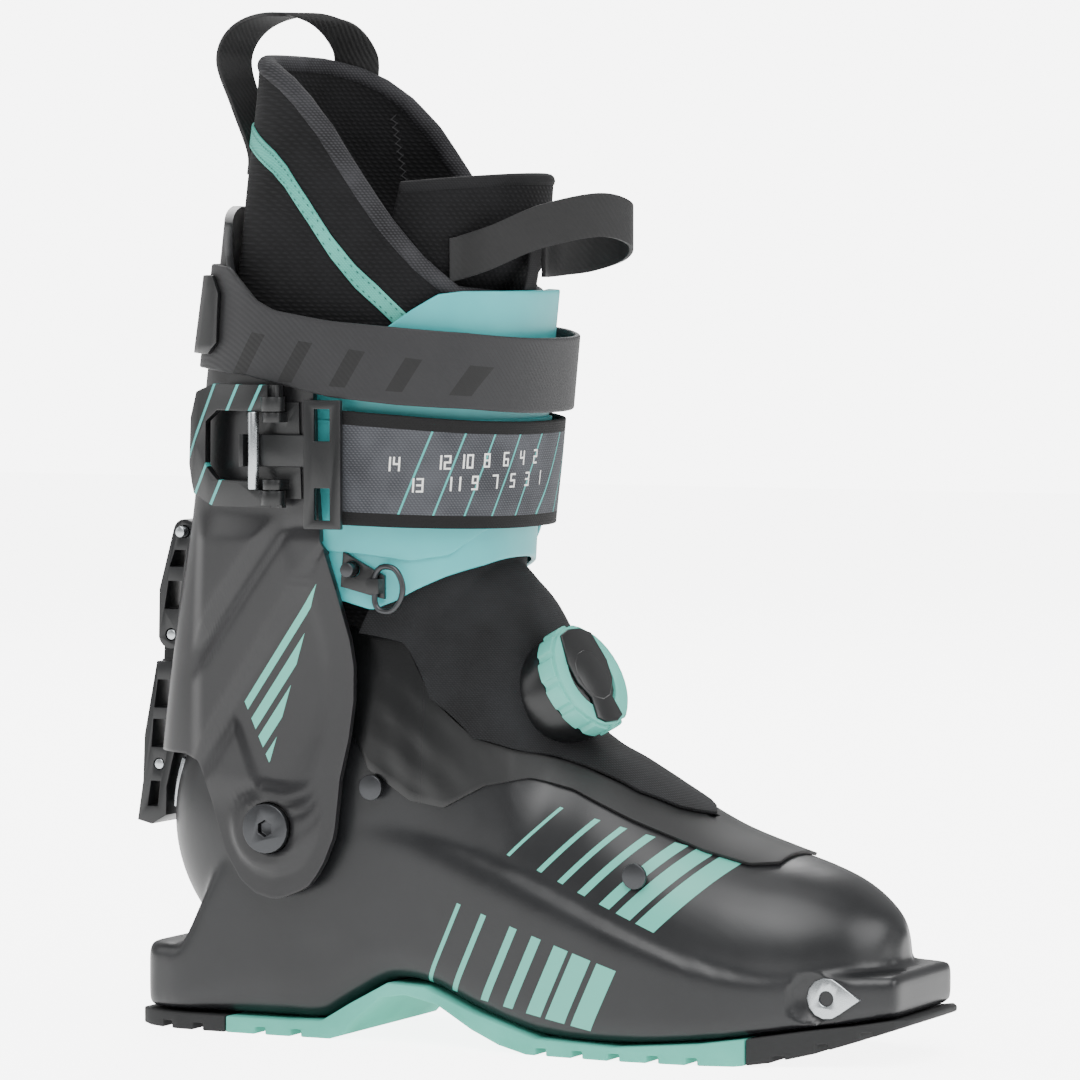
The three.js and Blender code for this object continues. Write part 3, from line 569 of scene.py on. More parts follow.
def leg_half_width(x, z, grow):
    """Half the width of the leg at a point of the side view, `grow` millimetres off its surface."""
    back, front, half_width, roundness = row_at(LEG, z)
    share = abs(x - (back + front) / 2) / ((front - back) / 2 + grow)
    return (half_width + grow) * max(1 - share**roundness, 0.0) ** (1 / roundness)


def instep_half_width(x, z):
    """Half the width of the foot or the leg, whichever is wider there, under the gaiter."""
    foot = foot_half_width(x, z, 2.0) if x > FOOT[0][0] else 0.0
    return max(foot, leg_half_width(x, z, 1.1) if z > 110 else 0.0)


GAITER_LINE = [(-62, 145), (-50, 141), (-35, 138), (-24, 119), (-8, 106), (10, 101.5), (25, 97), (46, 88),
               (60, 82), (68, 79.6)]
RAND_LINE = [(-56, 111), (-47, 94), (-31, 84), (-18, 82), (-3, 90), (12, 93), (26, 89.5), (48, 80),
             (73, 70.5), (89, 66.3), (97, 66.5)]


def from_pivot(x, z):
    """(angle, distance) of a point of the side view, seen from the cuff's pivot."""
    return math.degrees(math.atan2(z - PIVOT_Z, x - PIVOT_X)), math.hypot(x - PIVOT_X, z - PIVOT_Z)


gaiter_edge = sorted(from_pivot(x, z) for x, z in GAITER_LINE)


def gaiter_surface(u, v):
    """The gaiter fans out from the pivot; each ray runs over the instep from edge to edge."""
    angle = between(2.6, 64.6, u)
    across = 2 * v - 1
    ahead, up = math.cos(math.radians(angle)), math.sin(math.radians(angle))
    crest, far = 55.0, 190.0  # halved down to the distance of the instep's middle line
    for _ in range(22):
        middle = (crest + far) / 2
        if instep_half_width(PIVOT_X + middle * ahead, PIVOT_Z + middle * up) > 0.01:
            crest = middle
        else:
            far = middle
    edge = min(line_at(gaiter_edge, angle), crest)
    reach = edge + (crest - edge) * math.cos(math.pi / 2 * abs(across))
    x, z = PIVOT_X + reach * ahead, PIVOT_Z + reach * up
    wave = 0.15 * math.sin(x * 0.35 + z * 0.22) * math.sin(z * 0.31 - x * 0.12)
    return x, math.copysign(instep_half_width(x, z) + wave, across) if abs(across) > 1e-6 else 0.0, z


BANDS_PER_MM = 314  # scale of a wave texture whose bands are a millimetre apart


def woven_cloth(name, base, other, thread_mm, roughness, depth):
    """Woven or knitted nylon: crossing threads, sheen at grazing angles, slightly mottled dye."""
    material, tree, surface = new_material(
        name, Roughness=roughness, Sheen_Weight=0.06, Sheen_Roughness=0.5, IOR=1.35)
    surface.inputs["Sheen Tint"].default_value = linear("#5a5a5c")
    coords = add_node(tree, "TexCoord").outputs["Object"]
    warp, weft = (
        add_node(tree, "TexWave", {
            "Vector": coords, "Scale": BANDS_PER_MM / thread_mm, "Distortion": 0.6, "Detail": 1.0},
            bands_direction=direction)
        for direction in ("Z", "DIAGONAL"))
    height = maths(tree, "MULTIPLY", warp.outputs["Fac"], weft.outputs["Fac"])
    cloud = add_node(tree, "TexNoise", {"Vector": coords, "Scale": 60.0, "Detail": 4.0})
    level = maths(tree, "MULTIPLY_ADD", height, 0.6, cloud.outputs["Fac"])
    two_tone(tree, surface, level, base, other, 0.35, 0.95)
    relief(tree, surface, height, 0.7, depth)
    return material


softshell = woven_cloth("laminated_softshell_nylon", "#0c0c0d", "#202123", 0.7, 0.82, 0.00012)


def thicken(piece, thickness_mm, round_mm, segments=3, offset=-1):
    """Gives a skin its thickness and rounds the edges that this makes."""
    wall = piece.modifiers.new("thickness", "SOLIDIFY")
    wall.thickness = thickness_mm / 1000
    wall.offset = offset
    wall.use_even_offset = True
    edge = piece.modifiers.new("edge_round", "BEVEL")
    edge.width = round_mm / 1000
    edge.segments = segments
    edge.limit_method = "ANGLE"
    edge.angle_limit = math.radians(50)
    edge.use_clamp_overlap = True


def skin(name, material, columns, rows, surface, *thickness):
    """A piece made of one surface: its grid, with its thickness and rounded edges."""
    piece = object_from(close_up(grid_mesh(columns, rows, surface)), name, material)
    thicken(piece, *thickness)
    return piece


gaiter = skin("instep_gaiter", softshell, 90, 80, gaiter_surface, 1.0, 0.3, 2)
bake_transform(gaiter)
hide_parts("gaiter")


def gaiter_seam(side, lift):
    """A line on the gaiter just inside its lower edge, on one side of the foot."""
    def line(u, v):
        x = between(-48, 64, u)
        z = line_at(GAITER_LINE, x) + lift
        return x, side * (instep_half_width(x, z) + 0.15), z
    return line


def rand_surface(u, v):
    x = between(RAND_LINE[0][0], RAND_LINE[-1][0], u)
    across = 2 * v - 1
    low = line_at(RAND_LINE, x)
    top = row_at(FOOT, x)[2] + 1.3
    high = min(line_at(GAITER_LINE, x), top) if x < 66 else top
    low = min(low, high)
    z = low + (high - low) * math.cos(math.pi / 2 * abs(across))
    crease = 0.2 * math.sin(0.45 * x + 0.3 * z) * math.sin(0.17 * z - 0.11 * x)
    share = min(max((x + 50) / 10, 0.0), 1.0) * min(max((20 - x) / 20, 0.0), 1.0)
    return x, math.copysign(foot_half_width(x, z, 1.35) + crease * share, across), z


rand_plastic = moulded_plastic("glossy_polyurethane_film", "#0b0c0d", "#101112", 0.34, 0.35, 0.00003)
gloss_across(rand_plastic, -30, 5, 0.24, 0.58)
bm = grid_mesh(120, 41, rand_surface)
bridges = []  # the faces that cross from side to side where the gaiter fills the throat
for face in bm.faces:
    sides = [in_boot(vert.co)[1] for vert in face.verts]
    if in_boot(face.calc_center_median())[0] < 66 and min(sides) < 0 < max(sides):
        bridges.append(face)
bmesh.ops.delete(bm, geom=bridges, context="FACES")
bmesh.ops.recalc_face_normals(bm, faces=bm.faces)
rand = object_from(bm, "gaiter_band", rand_plastic)
thicken(rand, 1.2, 0.45)
fitted(rand, "shell", "black_nylon", "gaiter_rand")

# Cuff: carbon-filled polyamide moulding that wraps the leg from behind and turns on the pivot
# bolts. Its sides are stiffened by slanting ribs, with printed wedges below them.


def leg_point(turn, z, front, side, back):
    """A point on the leg's section at z, set off by so much in front, at the side and behind."""
    rear, toe, half_width, roundness = row_at(LEG, z)
    rear, toe = rear - back, toe + front
    return ((rear + toe) / 2 + (toe - rear) / 2 * rounded(math.cos(turn), roundness),
            (half_width + side) * rounded(math.sin(turn), roundness))


def wrap_surface(middle_turn, edge, low, high, out):
    """A surface on the leg, wrapped from behind (middle_turn is pi) or from in front (0). `edge` is
    its side edge as a line of (height, x), `low` and `high` its lower and upper edges over x."""
    def surface(u, v):
        across = 2 * u - 1
        x = -60.0
        for _ in range(6):  # x and z depend on each other, and settle in a few rounds
            z = between(line_at(low, x), line_at(high, x), v)
            if edge is None:
                last = math.pi - middle_turn
            else:
                rear, toe, _width, roundness = row_at(LEG, z)
                rear, toe = rear - out(z)[2], toe + out(z)[0]
                share = (line_at(edge, z) - (rear + toe) / 2) / ((toe - rear) / 2)
                share = min(max(share, -1.0), 1.0)
                last = math.acos(math.copysign(abs(share) ** (roundness / 2), share))
            turn = between(middle_turn, last, abs(across))
            x, y = leg_point(turn, z, *out(z))
        return x, math.copysign(y, across), z
    return surface


CUFF_EDGE = [(48, -62), (60, -60), (74, -57), (91, -55), (105, -51.5), (118, -49.5), (130, -49.2),
             (139, -50.5), (156, -55), (173, -60), (200, -61), (232, -61), (260, -62)]
CUFF_LOW = [(-150, 97), (-118, 97), (-112, 95), (-108, 88), (-104, 76), (-100, 64), (-94, 54.5), (-88, 50),
            (-81, 48.3), (-74, 49.5), (-67, 53.5), (-62, 60), (-58, 70), (-50, 74)]
CUFF_HIGH = [(-150, 287), (-113, 287), (-108, 281), (-104, 270), (-98, 259), (-90, 249), (-80, 242),
             (-61, 233), (-40, 230)]
cuff_wrap = wrap_surface(math.pi, CUFF_EDGE, CUFF_LOW, CUFF_HIGH, lambda z: (6.5, 6.5, 6.5))


def beside(x, z, start, end):
    """Distance from a slanting line, positive above and behind it."""
    (x0, z0), (x1, z1) = start, end
    length = math.hypot(x1 - x0, z1 - z0)
    return ((x1 - x0) * (z - z0) - (z1 - z0) * (x - x0)) / length


def cuff_surface(u, v):
    """The cuff with its panel pressed in between slanting ribs, its pivot boss and its border."""
    x, y, z = cuff_wrap(u, v)
    lower_rib = beside(x, z, (-96, 116), (-62, 164))
    upper_rib = beside(x, z, (-105, 144), (-78, 178))
    heel_rib = beside(x, z, (-84, 84), (-96, 116))
    panel = ramp(lower_rib, 0, 3) * (1 - ramp(z, 172, 182))
    depth = 1.9 * panel * (1 - ramp(upper_rib, -7, -4) * (1 - ramp(upper_rib, -0.5, 2.5)))
    behind = ramp(heel_rib, 0, 3) * (1 - ramp(lower_rib, -7, -3)) * ramp(z, 80, 90)
    depth += 1.2 * behind
    depth *= ramp(z, 70, 78) * ramp(-118 - x, -2, -10)
    swell = 1.6 * (1 - ramp(from_pivot(x, z)[1], 13.5, 16.5))
    border = 0.7 * ramp(abs(u - 0.5), 0.455, 0.47)
    return x, y + math.copysign(swell - depth + border, y), z


cuff_plastic = moulded_plastic("moulded_cuff_polyamide", "#151517", "#1c1c1e", 0.31)
printed_bars(
    cuff_plastic, [(-174.9, -171.6), (-168.1, -163.8), (-161.0, -156.6), (-154.0, -150.6)], 0.714,
    ((-87.4, -2.22, True), (350.2, 3.1, True), (176.0, 0.0, False), (86.0, 0.0, True)), "#5bb5a4")
BOLT_HOLE = 9  # radius


def in_cuff_opening(face):
    """Whether a face lies in a bolt hole or in the slot down the back for the walk mechanism."""
    x, y, z = in_boot(face.calc_center_median())
    return from_pivot(x, z)[1] < BOLT_HOLE or (abs(y) < 12.8 and x < -123.3 and z < 141)


bm = grid_mesh(190, 190, cuff_surface)
inner_verts = [v for v in bm.verts if not v.is_boundary]
bmesh.ops.smooth_vert(
    bm, verts=inner_verts, factor=0.5, use_axis_x=False, use_axis_y=True, use_axis_z=False)
bmesh.ops.delete(bm, geom=[f for f in bm.faces if in_cuff_opening(f)], context="FACES")
for vert in bm.verts:
    x, y, z = in_boot(vert.co)
    reach = from_pivot(x, z)[1]
    if vert.is_boundary and reach < BOLT_HOLE + 3:
        share = BOLT_HOLE / reach
        vert.co.x = (between(PIVOT_X, x, share) + SHIFT_X) / 1000
        vert.co.z = between(PIVOT_Z, z, share) / 1000
bmesh.ops.recalc_face_normals(bm, faces=bm.faces)
cuff = object_from(bm, "leg_cuff_moulding", cuff_plastic, 55)
thicken(cuff, 3.0, 0.7)
fitted(cuff, "leg_cuff", "moulded_shell", "cuff")

# Shaft tongue: a flexible turquoise polyether moulding with a second flap laid over its middle. It
# sits on the shin under both straps and is riveted to the cuff at its sides.

TONGUE_LOW = [(-72, 152), (-55, 152), (-44, 149), (-36, 152), (-29, 156), (-20, 160.5), (-11, 164),
              (-6, 167), (12, 169)]
TONGUE_HIGH = [(-72, 236), (-40, 243), (-34, 247), (-27, 252), (-19, 257), (-12, 258), (12, 258)]
tongue_surface = wrap_surface(
    0.0, [(140, -70), (260, -70)], TONGUE_LOW, TONGUE_HIGH, lambda z: (5.2, 3.1, -2.0))
tongue_plastic = moulded_plastic("turquoise_polyether_block_amide", "#40adb1", "#49b6b8", 0.36)
tongue = skin("shaft_tongue", tongue_plastic, 120, 60, tongue_surface, 1.9, 0.6)
fitted(tongue, "leg_cuff", "turquoise_plastic", "tongue")
FLAP_LOW = [(-72, 170), (-44, 168), (-30, 166), (-18, 168), (-10, 176), (12, 190)]
flap_surface = wrap_surface(
    0.0, [(140, -66), (260, -66)], FLAP_LOW, [(-72, 214), (12, 214)], lambda z: (6.4, 4.2, -1))
flap = skin("tongue_flap", tongue_plastic, 100, 30, flap_surface, 1.0, 0.4)
fitted(flap, "leg_cuff", "turquoise_plastic")

# Power strap: ribbed webbing coated with soft plastic, round the top of the cuff. It is riveted to
# the cuff behind, under a moulded pad.

STRAP_LOW = [(-150, 231), (-112, 231), (-105, 230.5), (-88, 229), (-70, 225.5), (-54, 222), (-30, 219.5),
             (-8, 218), (20, 214)]
STRAP_HIGH = [(-150, 267), (-108, 267), (-98, 266), (-90, 260), (-84, 255), (-76, 251.5), (-54, 248),
              (-30, 246), (-8, 244), (20, 240)]
strap_surface = wrap_surface(math.pi, None, STRAP_LOW, STRAP_HIGH, lambda z: (14.0, 9.6, 9.4))


def ribbed_webbing(name, base, other, rib_mm):
    """Dense webbing coated with soft plastic: slanting ribs across it, dull sheen."""
    material, tree, surface = new_material(name, Roughness=0.6, Sheen_Weight=0.05, IOR=1.45)
    coords = add_node(tree, "TexCoord").outputs["Object"]
    ribs = add_node(tree, "TexWave", {"Vector": coords, "Scale": BANDS_PER_MM / rib_mm, "Distortion": 0.2},
                    bands_direction="DIAGONAL")
    threads = add_node(tree, "TexWave", {"Vector": coords, "Scale": BANDS_PER_MM / 0.5, "Distortion": 1.0},
                       bands_direction="Z")
    height = maths(tree, "MULTIPLY_ADD", threads.outputs["Fac"], 0.25, ribs.outputs["Fac"])
    cloud = add_node(tree, "TexNoise", {"Vector": coords, "Scale": 70.0, "Detail": 4.0})
    two_tone(tree, surface, cloud.outputs["Fac"], base, other)
    relief(tree, surface, height, 0.4, 0.00015)
    return material


strap_webbing = ribbed_webbing("coated_polyester_webbing", "#1d1d1f", "#252527", 1.1)
printed_bars(
    strap_webbing, [(-236 + 21 * step, -230 + 21 * step) for step in range(7)], 0.62,
    ((222, -0.07, True), (232, -0.14, False)), "#0e0e0f")
power_strap = skin("power_strap_band", strap_webbing, 160, 16, strap_surface, 2.1, 0.7)
fitted(power_strap, "leg_cuff", "webbing", "power_strap")

# Buckle strap: grey woven strap with black twill edges, turned round the tongue to its anchor.
# White numbers and thin turquoise lines are printed on it, so a setting can be found again.

LOW_STRAP_LOW = [(-56, 178.5), (-30, 177.6), (-8, 177), (20, 176)]
LOW_STRAP_HIGH = [(-56, 218), (-30, 216), (-8, 214), (20, 212)]
low_strap_surface = wrap_surface(
    0.0, [(170, -54), (230, -54)], LOW_STRAP_LOW, LOW_STRAP_HIGH, lambda z: (11.4, 8.8, 8.8))


def edged_webbing(name, field, other, edge, lines, ink, edge_share):
    """Woven strap: a plain-weave field between twill edges, with thin slanting lines printed over
    it. Lines are shares of the strap's length and `edge_share` is a share of its width."""
    material = woven_cloth(name, field, other, 0.8, 0.7, 0.0001)
    tree = material.node_tree
    surface = tree.nodes["Principled BSDF"]
    field_colour = surface.inputs["Base Color"].links[0].from_socket
    place_on = add_node(tree, "SeparateXYZ", {"Vector": add_node(tree, "TexCoord").outputs["UV"]})

    def apart(value, other_value):
        return maths(tree, "ABSOLUTE", maths(tree, "SUBTRACT", value, other_value))

    in_edge = maths(tree, "GREATER_THAN", apart(place_on.outputs["Y"], 0.5), 0.5 - edge_share)
    slant = maths(tree, "MULTIPLY_ADD", place_on.outputs["Y"], -0.09, place_on.outputs["X"])
    printed = None
    for start in lines:
        near = maths(tree, "LESS_THAN", apart(slant, start), 0.0022)
        printed = near if printed is None else maths(tree, "MAXIMUM", printed, near)
    inked = add_node(tree, "Mix", {0: printed, 6: field_colour, 7: linear(ink)}, data_type="RGBA")
    full = add_node(tree, "Mix", {0: in_edge, 6: inked.outputs[2], 7: linear(edge)}, data_type="RGBA")
    tree.links.new(full.outputs[2], surface.inputs["Base Color"])
    return material


strap_cloth = edged_webbing(
    "grey_jacquard_webbing", "#303135", "#505257", "#0d0d0e",
    [0.11 + 0.074 * line for line in range(11)], "#4aa8a3", 0.12)
low_strap = skin("buckle_strap_web", strap_cloth, 110, 24, low_strap_surface, 1.7, 0.5)
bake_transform(low_strap)
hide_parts("buckle_strap")

# Each digit is made of strokes: (left, low, right, high) in shares of its width and height.
STROKES = {
    "a": (0, 0.87, 1, 1), "b": (0.74, 0.5, 1, 1), "c": (0.74, 0, 1, 0.5), "d": (0, 0, 1, 0.13),
    "e": (0, 0, 0.26, 0.5), "f": (0, 0.5, 0.26, 1), "g": (0, 0.435, 1, 0.565),
}
DIGITS = {
    "0": "abcdef", "1": "bc", "2": "abdeg", "3": "abcdg", "4": "bcfg", "5": "acdfg", "6": "acdefg",
    "7": "abc", "8": "abcdefg", "9": "abcdfg",
}
DIGIT_WIDTH, DIGIT_HEIGHT, DIGIT_GAP = 2.5, 4.9, 0.7
number_level = (11.5, 8.9, 8.9)
# (distance round the leg from the middle of the front, turn) along the outer side
girth = [(0.0, 0.0)]
last = leg_point(0.0, 197, *number_level)
for step in range(1, 401):
    turn = -math.pi * 0.75 * step / 400
    point = leg_point(turn, 197, *number_level)
    girth.append((girth[-1][0] + math.dist(point, last), turn))
    last = point
bm = bmesh.new()
for number in range(1, 15):
    text = str(number)
    middle = 5 + 4.0 * (number - 1) + {13: 5.0, 14: 9.4}.get(number, 0.0)
    base_z = (199.0 if number % 2 == 0 else 191.5) - 0.03 * middle
    for place_in, digit in enumerate(text):
        offset = middle + (len(text) - 1) * 1.6 - place_in * (DIGIT_WIDTH + DIGIT_GAP)
        for stroke in DIGITS[digit]:
            left, low, right, high = STROKES[stroke]
            rows = []
            for share in (left, (left + right) / 2, right):
                turn = line_at(girth, offset - share * DIGIT_WIDTH)
                rows.append([bm.verts.new(place(*leg_point(turn, z, *number_level), z))
                             for z in (base_z + low * DIGIT_HEIGHT, base_z + high * DIGIT_HEIGHT)])
            for near, far in zip(rows, rows[1:]):
                bm.faces.new((near[0], far[0], far[1], near[1]))
# screen-printed white ink, matt and opaque
white_ink, tree, surface = new_material("white_screen_ink", Base_Color=linear("#e9e9e6"), Roughness=0.55)
numbers = object_from(bm, "strap_numbers", white_ink)
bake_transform(numbers)

# Buckle: black anodised lever, ladder hook and base, turning on steel pins; the base is riveted to
# the cuff and the strap anchor on the inner side is a moulded plate.

buckle_black = moulded_plastic("black_anodised_alloy", "#121314", "#18191a", 0.33, 0.25, 0.00001)
lever_black = moulded_plastic("printed_black_alloy", "#121314", "#18191a", 0.33, 0.25, 0.00001)
printed_bars(lever_black, [(-224.4, -223.0), (-213.4, -212.0), (-203.4, -202.0)], 0.55,
             ((176.0, 0.0, True), (240.0, 0.0, False)), "#4aa8a3")
dress("_part", 0.45, (
    (buckle_black, "black_nylon", "buckle_base strap_anchor buckle_plate"),
    (lever_black, "dark_steel", "buckle_lever"),
    (dark_steel, "steel", "knuckle_pin_low knuckle_pin_top"),
    (bright_steel, "steel", "tension_pin"),
))

# Walk mechanism: a forged alloy link and lever down the back of the heel, with windows to save
# weight, on steel pins. The lever locks over the heel plate for skiing.

walk_alloy = moulded_plastic("black_forged_alloy", "#161718", "#1d1e20", 0.3, 0.25, 0.00001)
dress("_part", 0.4, (
    (walk_alloy, "dark_steel", "walk_link walk_lever"),
    (bright_steel, "steel", "walk_link_pin walk_lever_pin lock_pin"),
))

# Closure dial: black nylon base and ratchet bolted through the gaiter, a turquoise grip with
# moulded flats, and a black glass-filled cap with a stepped outline pressed into it.

dial_black = moulded_plastic("black_glass_filled_nylon", "#101112", "#161718", 0.3, 0.25, 0.00001)
dial_grip = moulded_plastic("turquoise_thermoplastic_rubber", "#58b3a4", "#62bdae", 0.45, 0.6, 0.00005)
dress("_part", 0.7, (
    (dial_black, "black_nylon", "dial_housing dial_spool dial_ratchet"),
    (dial_grip, "turquoise_plastic", "dial_knob"),
    (dial_black, "black_nylon", "dial_cap"),
), 30)
# the raised outline on the cap, in the dial's own axes with its face up
dial_axes = (Matrix.Translation(place(14, -12, 120.6))
             @ Matrix.Rotation(math.radians(-9.8), 4, "Z") @ Matrix.Rotation(math.radians(62.7), 4, "Y"))
CAP_OUTLINE = [(-17.4, 3.5), (-15.5, 9.0), (-5, 11.6), (2, 10.4), (8, 6.0), (15.5, 7.5), (17.4, 3.5),
               (17.4, -3.5), (15.5, -7.5), (8, -6.0), (2, -10.4), (-5, -11.6), (-15.5, -9.0), (-17.4, -3.5)]
bm = bmesh.new()
plate = bm.faces.new([bm.verts.new((x / 1000, y / 1000, 13.5 / 1000)) for x, y in CAP_OUTLINE])
raised = bmesh.ops.extrude_face_region(bm, geom=[plate])["geom"]
bmesh.ops.translate(bm, verts=[v for v in raised if isinstance(v, bmesh.types.BMVert)], vec=(0, 0, 0.0011))
bmesh.ops.recalc_face_normals(bm, faces=bm.faces)
bmesh.ops.bevel(bm, geom=[e for e in bm.edges if e.calc_face_angle(0) > 0.5], offset=0.0003, segments=2,
                profile=0.5, affect="EDGES", offset_type="OFFSET", clamp_overlap=True, material=-1)
bmesh.ops.transform(bm, matrix=dial_axes, verts=bm.verts)
cap_plate = object_from(bm, "dial_cap_plate", dial_black, 40)
fitted(cap_plate, "dial", "black_nylon")

# Small fittings: the tab riveted to the tongue with its bent steel ring, the moulded pad behind the
# power strap, the nylon bushes on the pivot bolts and the board that the liner stands on.

dress("_part", 0.3, (
    (buckle_black, "black_nylon", "ring_tab"),
    (dark_steel, "dark_steel", "ring_tab_rivet d_ring"),
    (buckle_black, "black_nylon", "power_strap_pad"),
    (dial_black, "black_nylon", "pivot_bush_outer pivot_bush_inner boot_board"),
), 40)

# Liner: heat-moulded foam faced with knitted mesh, with a bound collar that is high behind the
# calf; the foot part lies loose in the shell and the padded tongue, sewn in, closes the shin.

LINER_LOW = [(-150, 113.5), (-130, 113.5), (-122, 118.5), (-116, 123), (-108, 128), (-100, 134), (-60, 150),
             (-40, 158), (-12, 170), (6, 172)]
LINER_HIGH = [(-150, 336), (-104, 337), (-97, 336), (-88, 333), (-80, 329), (-72, 323), (-62, 313),
              (-50, 297), (-38, 281), (-27, 268), (-16, 257), (10, 252)]
liner_knit = woven_cloth("knitted_mesh_over_foam", "#060607", "#161618", 1.5, 0.9, 0.0003)
liner_binding = woven_cloth("heather_binding_tape", "#161618", "#3a3a3d", 0.9, 0.85, 0.00015)
collar_surface = wrap_surface(math.pi, None, LINER_LOW, LINER_HIGH, lambda z: (0.0, 0.0, 0.0))
collar = skin("liner_collar", liner_knit, 150, 110, collar_surface, 5.5, 2.4, 4)
fitted(collar, "leg_cuff", "liner_fabric", "liner_shaft")
# the liner's ankle is a soft sleeve inside the shell and the collar
ankle_surface = wrap_surface(math.pi, None, [(-150, 88), (20, 88)], [(-150, 172), (-60, 172), (20, 190)],
                             lambda z: (-5.6, -5.6, -5.6))
ankle = skin("liner_ankle_sleeve", liner_knit, 110, 50, ankle_surface, 2.5, 0.8, 2)
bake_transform(ankle)


def smooth_path(points, share):
    """A point on a smooth curve through the points."""
    spans = len(points) - 1
    at = min(share * spans, spans - 1e-9)
    index = int(at)
    t = at - index
    a, b, c, d = (Vector(points[min(max(index + k, 0), spans)]) for k in (-1, 0, 1, 2))
    return 0.5 * (2 * b + (c - a) * t + (2 * a - 5 * b + 4 * c - d) * t**2 + (3 * b - a - 3 * c + d) * t**3)


def roll_of(path, radius, columns=120, rows=10, flatten=1.0):
    """A rolled edge: a round tube along path(u), with `flatten` as its depth over its width."""
    def surface(u, v):
        middle = Vector(path(u))
        along = (Vector(path(min(u + 0.004, 1))) - Vector(path(max(u - 0.004, 0)))).normalized()
        side = along.cross(Vector((0, 0, 1)) if abs(along.z) < 0.9 else Vector((1, 0, 0))).normalized()
        up = side.cross(along)
        size = radius * min(math.sqrt(min(u, 1 - u) / 0.006), 1.0)
        angle = 2 * math.pi * v
        return middle + side * size * flatten * math.cos(angle) + up * size * math.sin(angle)
    return close_up(grid_mesh(columns, rows, surface))


LEG_MIDDLE = -52.0  # x of the middle of the leg at the collar


def collar_rim(u):
    """The middle of the collar's top edge, from the outer front round the back to the inner front."""
    x, y, z = collar_surface(0.03 + 0.94 * u, 1.0)
    inwards = Vector((LEG_MIDDLE - x, -y)).normalized() * 2.75  # half the padding
    return x + inwards.x, y + inwards.y, z - 0.4


rim = object_from(roll_of(collar_rim, 3.5, 260, 14), "collar_binding", liner_binding, 70)
fitted(rim, "leg_cuff", "liner_fabric")

TAPE_LINE = [(-150, 314), (-104, 313), (-96, 310), (-89, 306), (-82, 302), (-76, 297), (-66, 285), (-57, 273),
             (-48, 263), (-40, 256), (-26, 242)]
tape_low, tape_high = ([(x, z + half) for x, z in TAPE_LINE] for half in (-3.9, 3.9))
tape_surface = wrap_surface(math.pi, [(230, -28), (330, -28)], tape_low, tape_high, lambda z: (0.7, 0.7, 0.7))
tape_cloth = woven_cloth("turquoise_grosgrain_tape", "#3f9587", "#5cb3a4", 0.6, 0.75, 0.00006)
tape = skin("collar_tape", tape_cloth, 240, 6, tape_surface, 0.9, 0.3, 2)
fitted(tape, "leg_cuff", "liner_fabric")


def stitches_along(surface, count, thread, v_places, name, body, length_mm=1.5):
    """A row of short thread stitches laid on surface(u, v) at each v."""
    above_mm, half_width_mm = 0.25, 0.22
    bm = bmesh.new()
    for v in v_places:
        for step in range(count):
            here = Vector(surface((step + 0.5) / count, v))
            there = Vector(surface((step + 0.6) / count, v))
            along = (there - here).normalized() * length_mm / 2
            out = Vector((here.x - LEG_MIDDLE, here.y, 0)).normalized() * above_mm
            across = along.normalized().cross(out.normalized()) * half_width_mm
            corners = [here + out - along, here + out + across, here + out + along, here + out - across]
            bm.faces.new([bm.verts.new(place(*corner)) for corner in corners])
    fitted(object_from(bm, name, thread), body, "liner_fabric")


# bonded polyester sewing thread, with a dull gloss
black_thread, tree, surface = new_material(
    "black_polyester_thread", Base_Color=linear("#2a2a2c"), Roughness=0.7)
dark_thread, tree, surface = new_material("dark_green_thread", Base_Color=linear("#1c4f49"), Roughness=0.7)
for side, side_name in ((-1, "outer"), (1, "inner")):
    for lift in (2.6, 5.0):
        stitches_along(gaiter_seam(side, lift), 58, black_thread, (0,),
                       f"gaiter_stitches_{side_name}_{lift:.0f}", "shell")
stitches_along(tape_surface, 120, dark_thread, (0.2, 0.8), "collar_tape_stitches", "leg_cuff")


def zigzag_seam(u, v):
    """A zigzag line on the inside of the collar's inner half, from its rim down towards the front."""
    swing = 1.6 * (2 * abs(12 * u % 1 - 0.5) - 0.5)
    z = 319 - 34 * u
    x = -74 + 5 * u + swing
    return x, leg_half_width(x, z, -5.9), z


stitches_along(zigzag_seam, 96, black_thread, (0,), "collar_zigzag_seam", "leg_cuff", 1.9)


# the padded tongue lies inside the collar and stands forward where it rises above the cuff
shin_surface = wrap_surface(
    0.0, [(168, -44), (270, -42), (293, -36)], [(-44, 168), (12, 176)], [(-36, 293), (12, 297)],
    lambda z: (-5.4 + 6 * ramp(z, 256, 270), -7.9, -5.4))
shin_pad = skin("liner_shin_pad", liner_knit, 90, 80, shin_surface, 4.1, 1.8, 4)
fitted(shin_pad, "leg_cuff", "liner_fabric", "liner_tongue")


def shin_rim(u):
    """The middle of the padded tongue's top edge."""
    x, y, z = shin_surface(u, 1.0)
    inwards = Vector((LEG_MIDDLE - x, -y)).normalized() * 2.0
    return x + inwards.x, y + inwards.y, z - 0.2


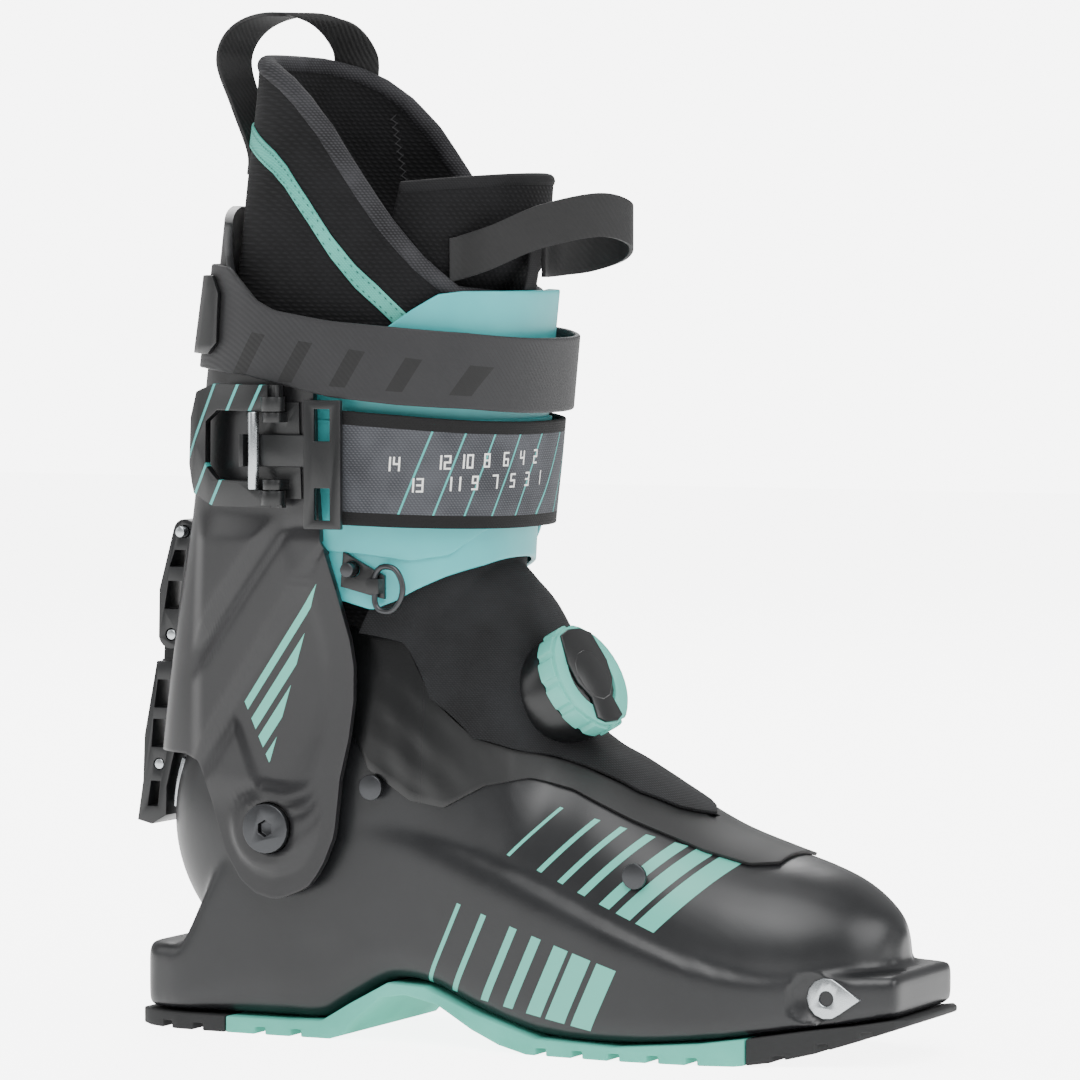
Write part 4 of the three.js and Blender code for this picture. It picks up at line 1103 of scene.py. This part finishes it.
plain_knit = woven_cloth("black_stretch_binding", "#0a0a0b", "#1a1a1c", 0.7, 0.85, 0.0001)
piping = object_from(roll_of(shin_rim, 2.5, 120, 12), "shin_pad_piping", plain_knit, 70)
fitted(piping, "leg_cuff", "liner_fabric")


def band_surface(route, across_start, across_end, width):
    """A flat band along a route, turning from one direction across it to another."""
    def surface(u, v):
        across = Vector(across_start).lerp(Vector(across_end), u).normalized()
        return smooth_path(route, u) + across * width * (v - 0.5)
    return surface


tab_route = [(-1.2, -7, 258), (0.6, -7, 268), (1.4, -7, 277), (1.2, -7, 284)]
tab_surface = band_surface(tab_route, (0, 1, 0), (0, 1, 0), 9)
tab = skin("shin_pad_tab", plain_knit, 24, 4, tab_surface, 0.9, 0.3, 2, 1)
fitted(tab, "leg_cuff", "liner_fabric")

for node_name, piece_name in (("liner_foot", "liner_foot_foam"), ("footbed", "footbed_foam")):
    foam = from_frame(node_name, piece_name, liner_knit, 0)

# Pull loops: black twill webbing sewn to the liner, one across the shin and one up the back.

pull_twill = ribbed_webbing("black_twill_webbing", "#0c0c0d", "#161617", 1.3)
# node, piece, direction across at the start and at the end, width, route
LOOPS = (
    ("front_pull_loop", "front_loop_webbing", (0, 0, 1), (0, 0, 1), 15.0,
     [(-18.9, -32.3, 268.5), (-15.5, -30.5, 269.5), (-5, -28.5, 273), (10, -21, 280), (26, -8, 284),
      (32, 4, 281), (26, 13, 276), (13, 15.5, 272), (3, 13, 270.5), (0, 7.5, 270), (0.6, 1.5, 270)]),
    ("rear_pull_loop", "rear_loop_webbing", (0, 1, 0), (0.87, 0.5, 0), 16.0,
     [(-107.6, -2, 298), (-106.9, -2, 306), (-112, -3, 322), (-117, -3, 338), (-112, -1, 349), (-101, 5, 354),
      (-90, 18, 351.5), (-87.4, 32, 342), (-88.8, 36.4, 331), (-88.8, 36.7, 321)]),
)
for node_name, piece_name, across_start, across_end, width, route in LOOPS:
    on_band = band_surface(route, across_start, across_end, width)
    fitted(skin(piece_name, pull_twill, 120, 8, on_band, 1.5, 0.45, 3, 0), "leg_cuff", "webbing", node_name)

low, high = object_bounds()
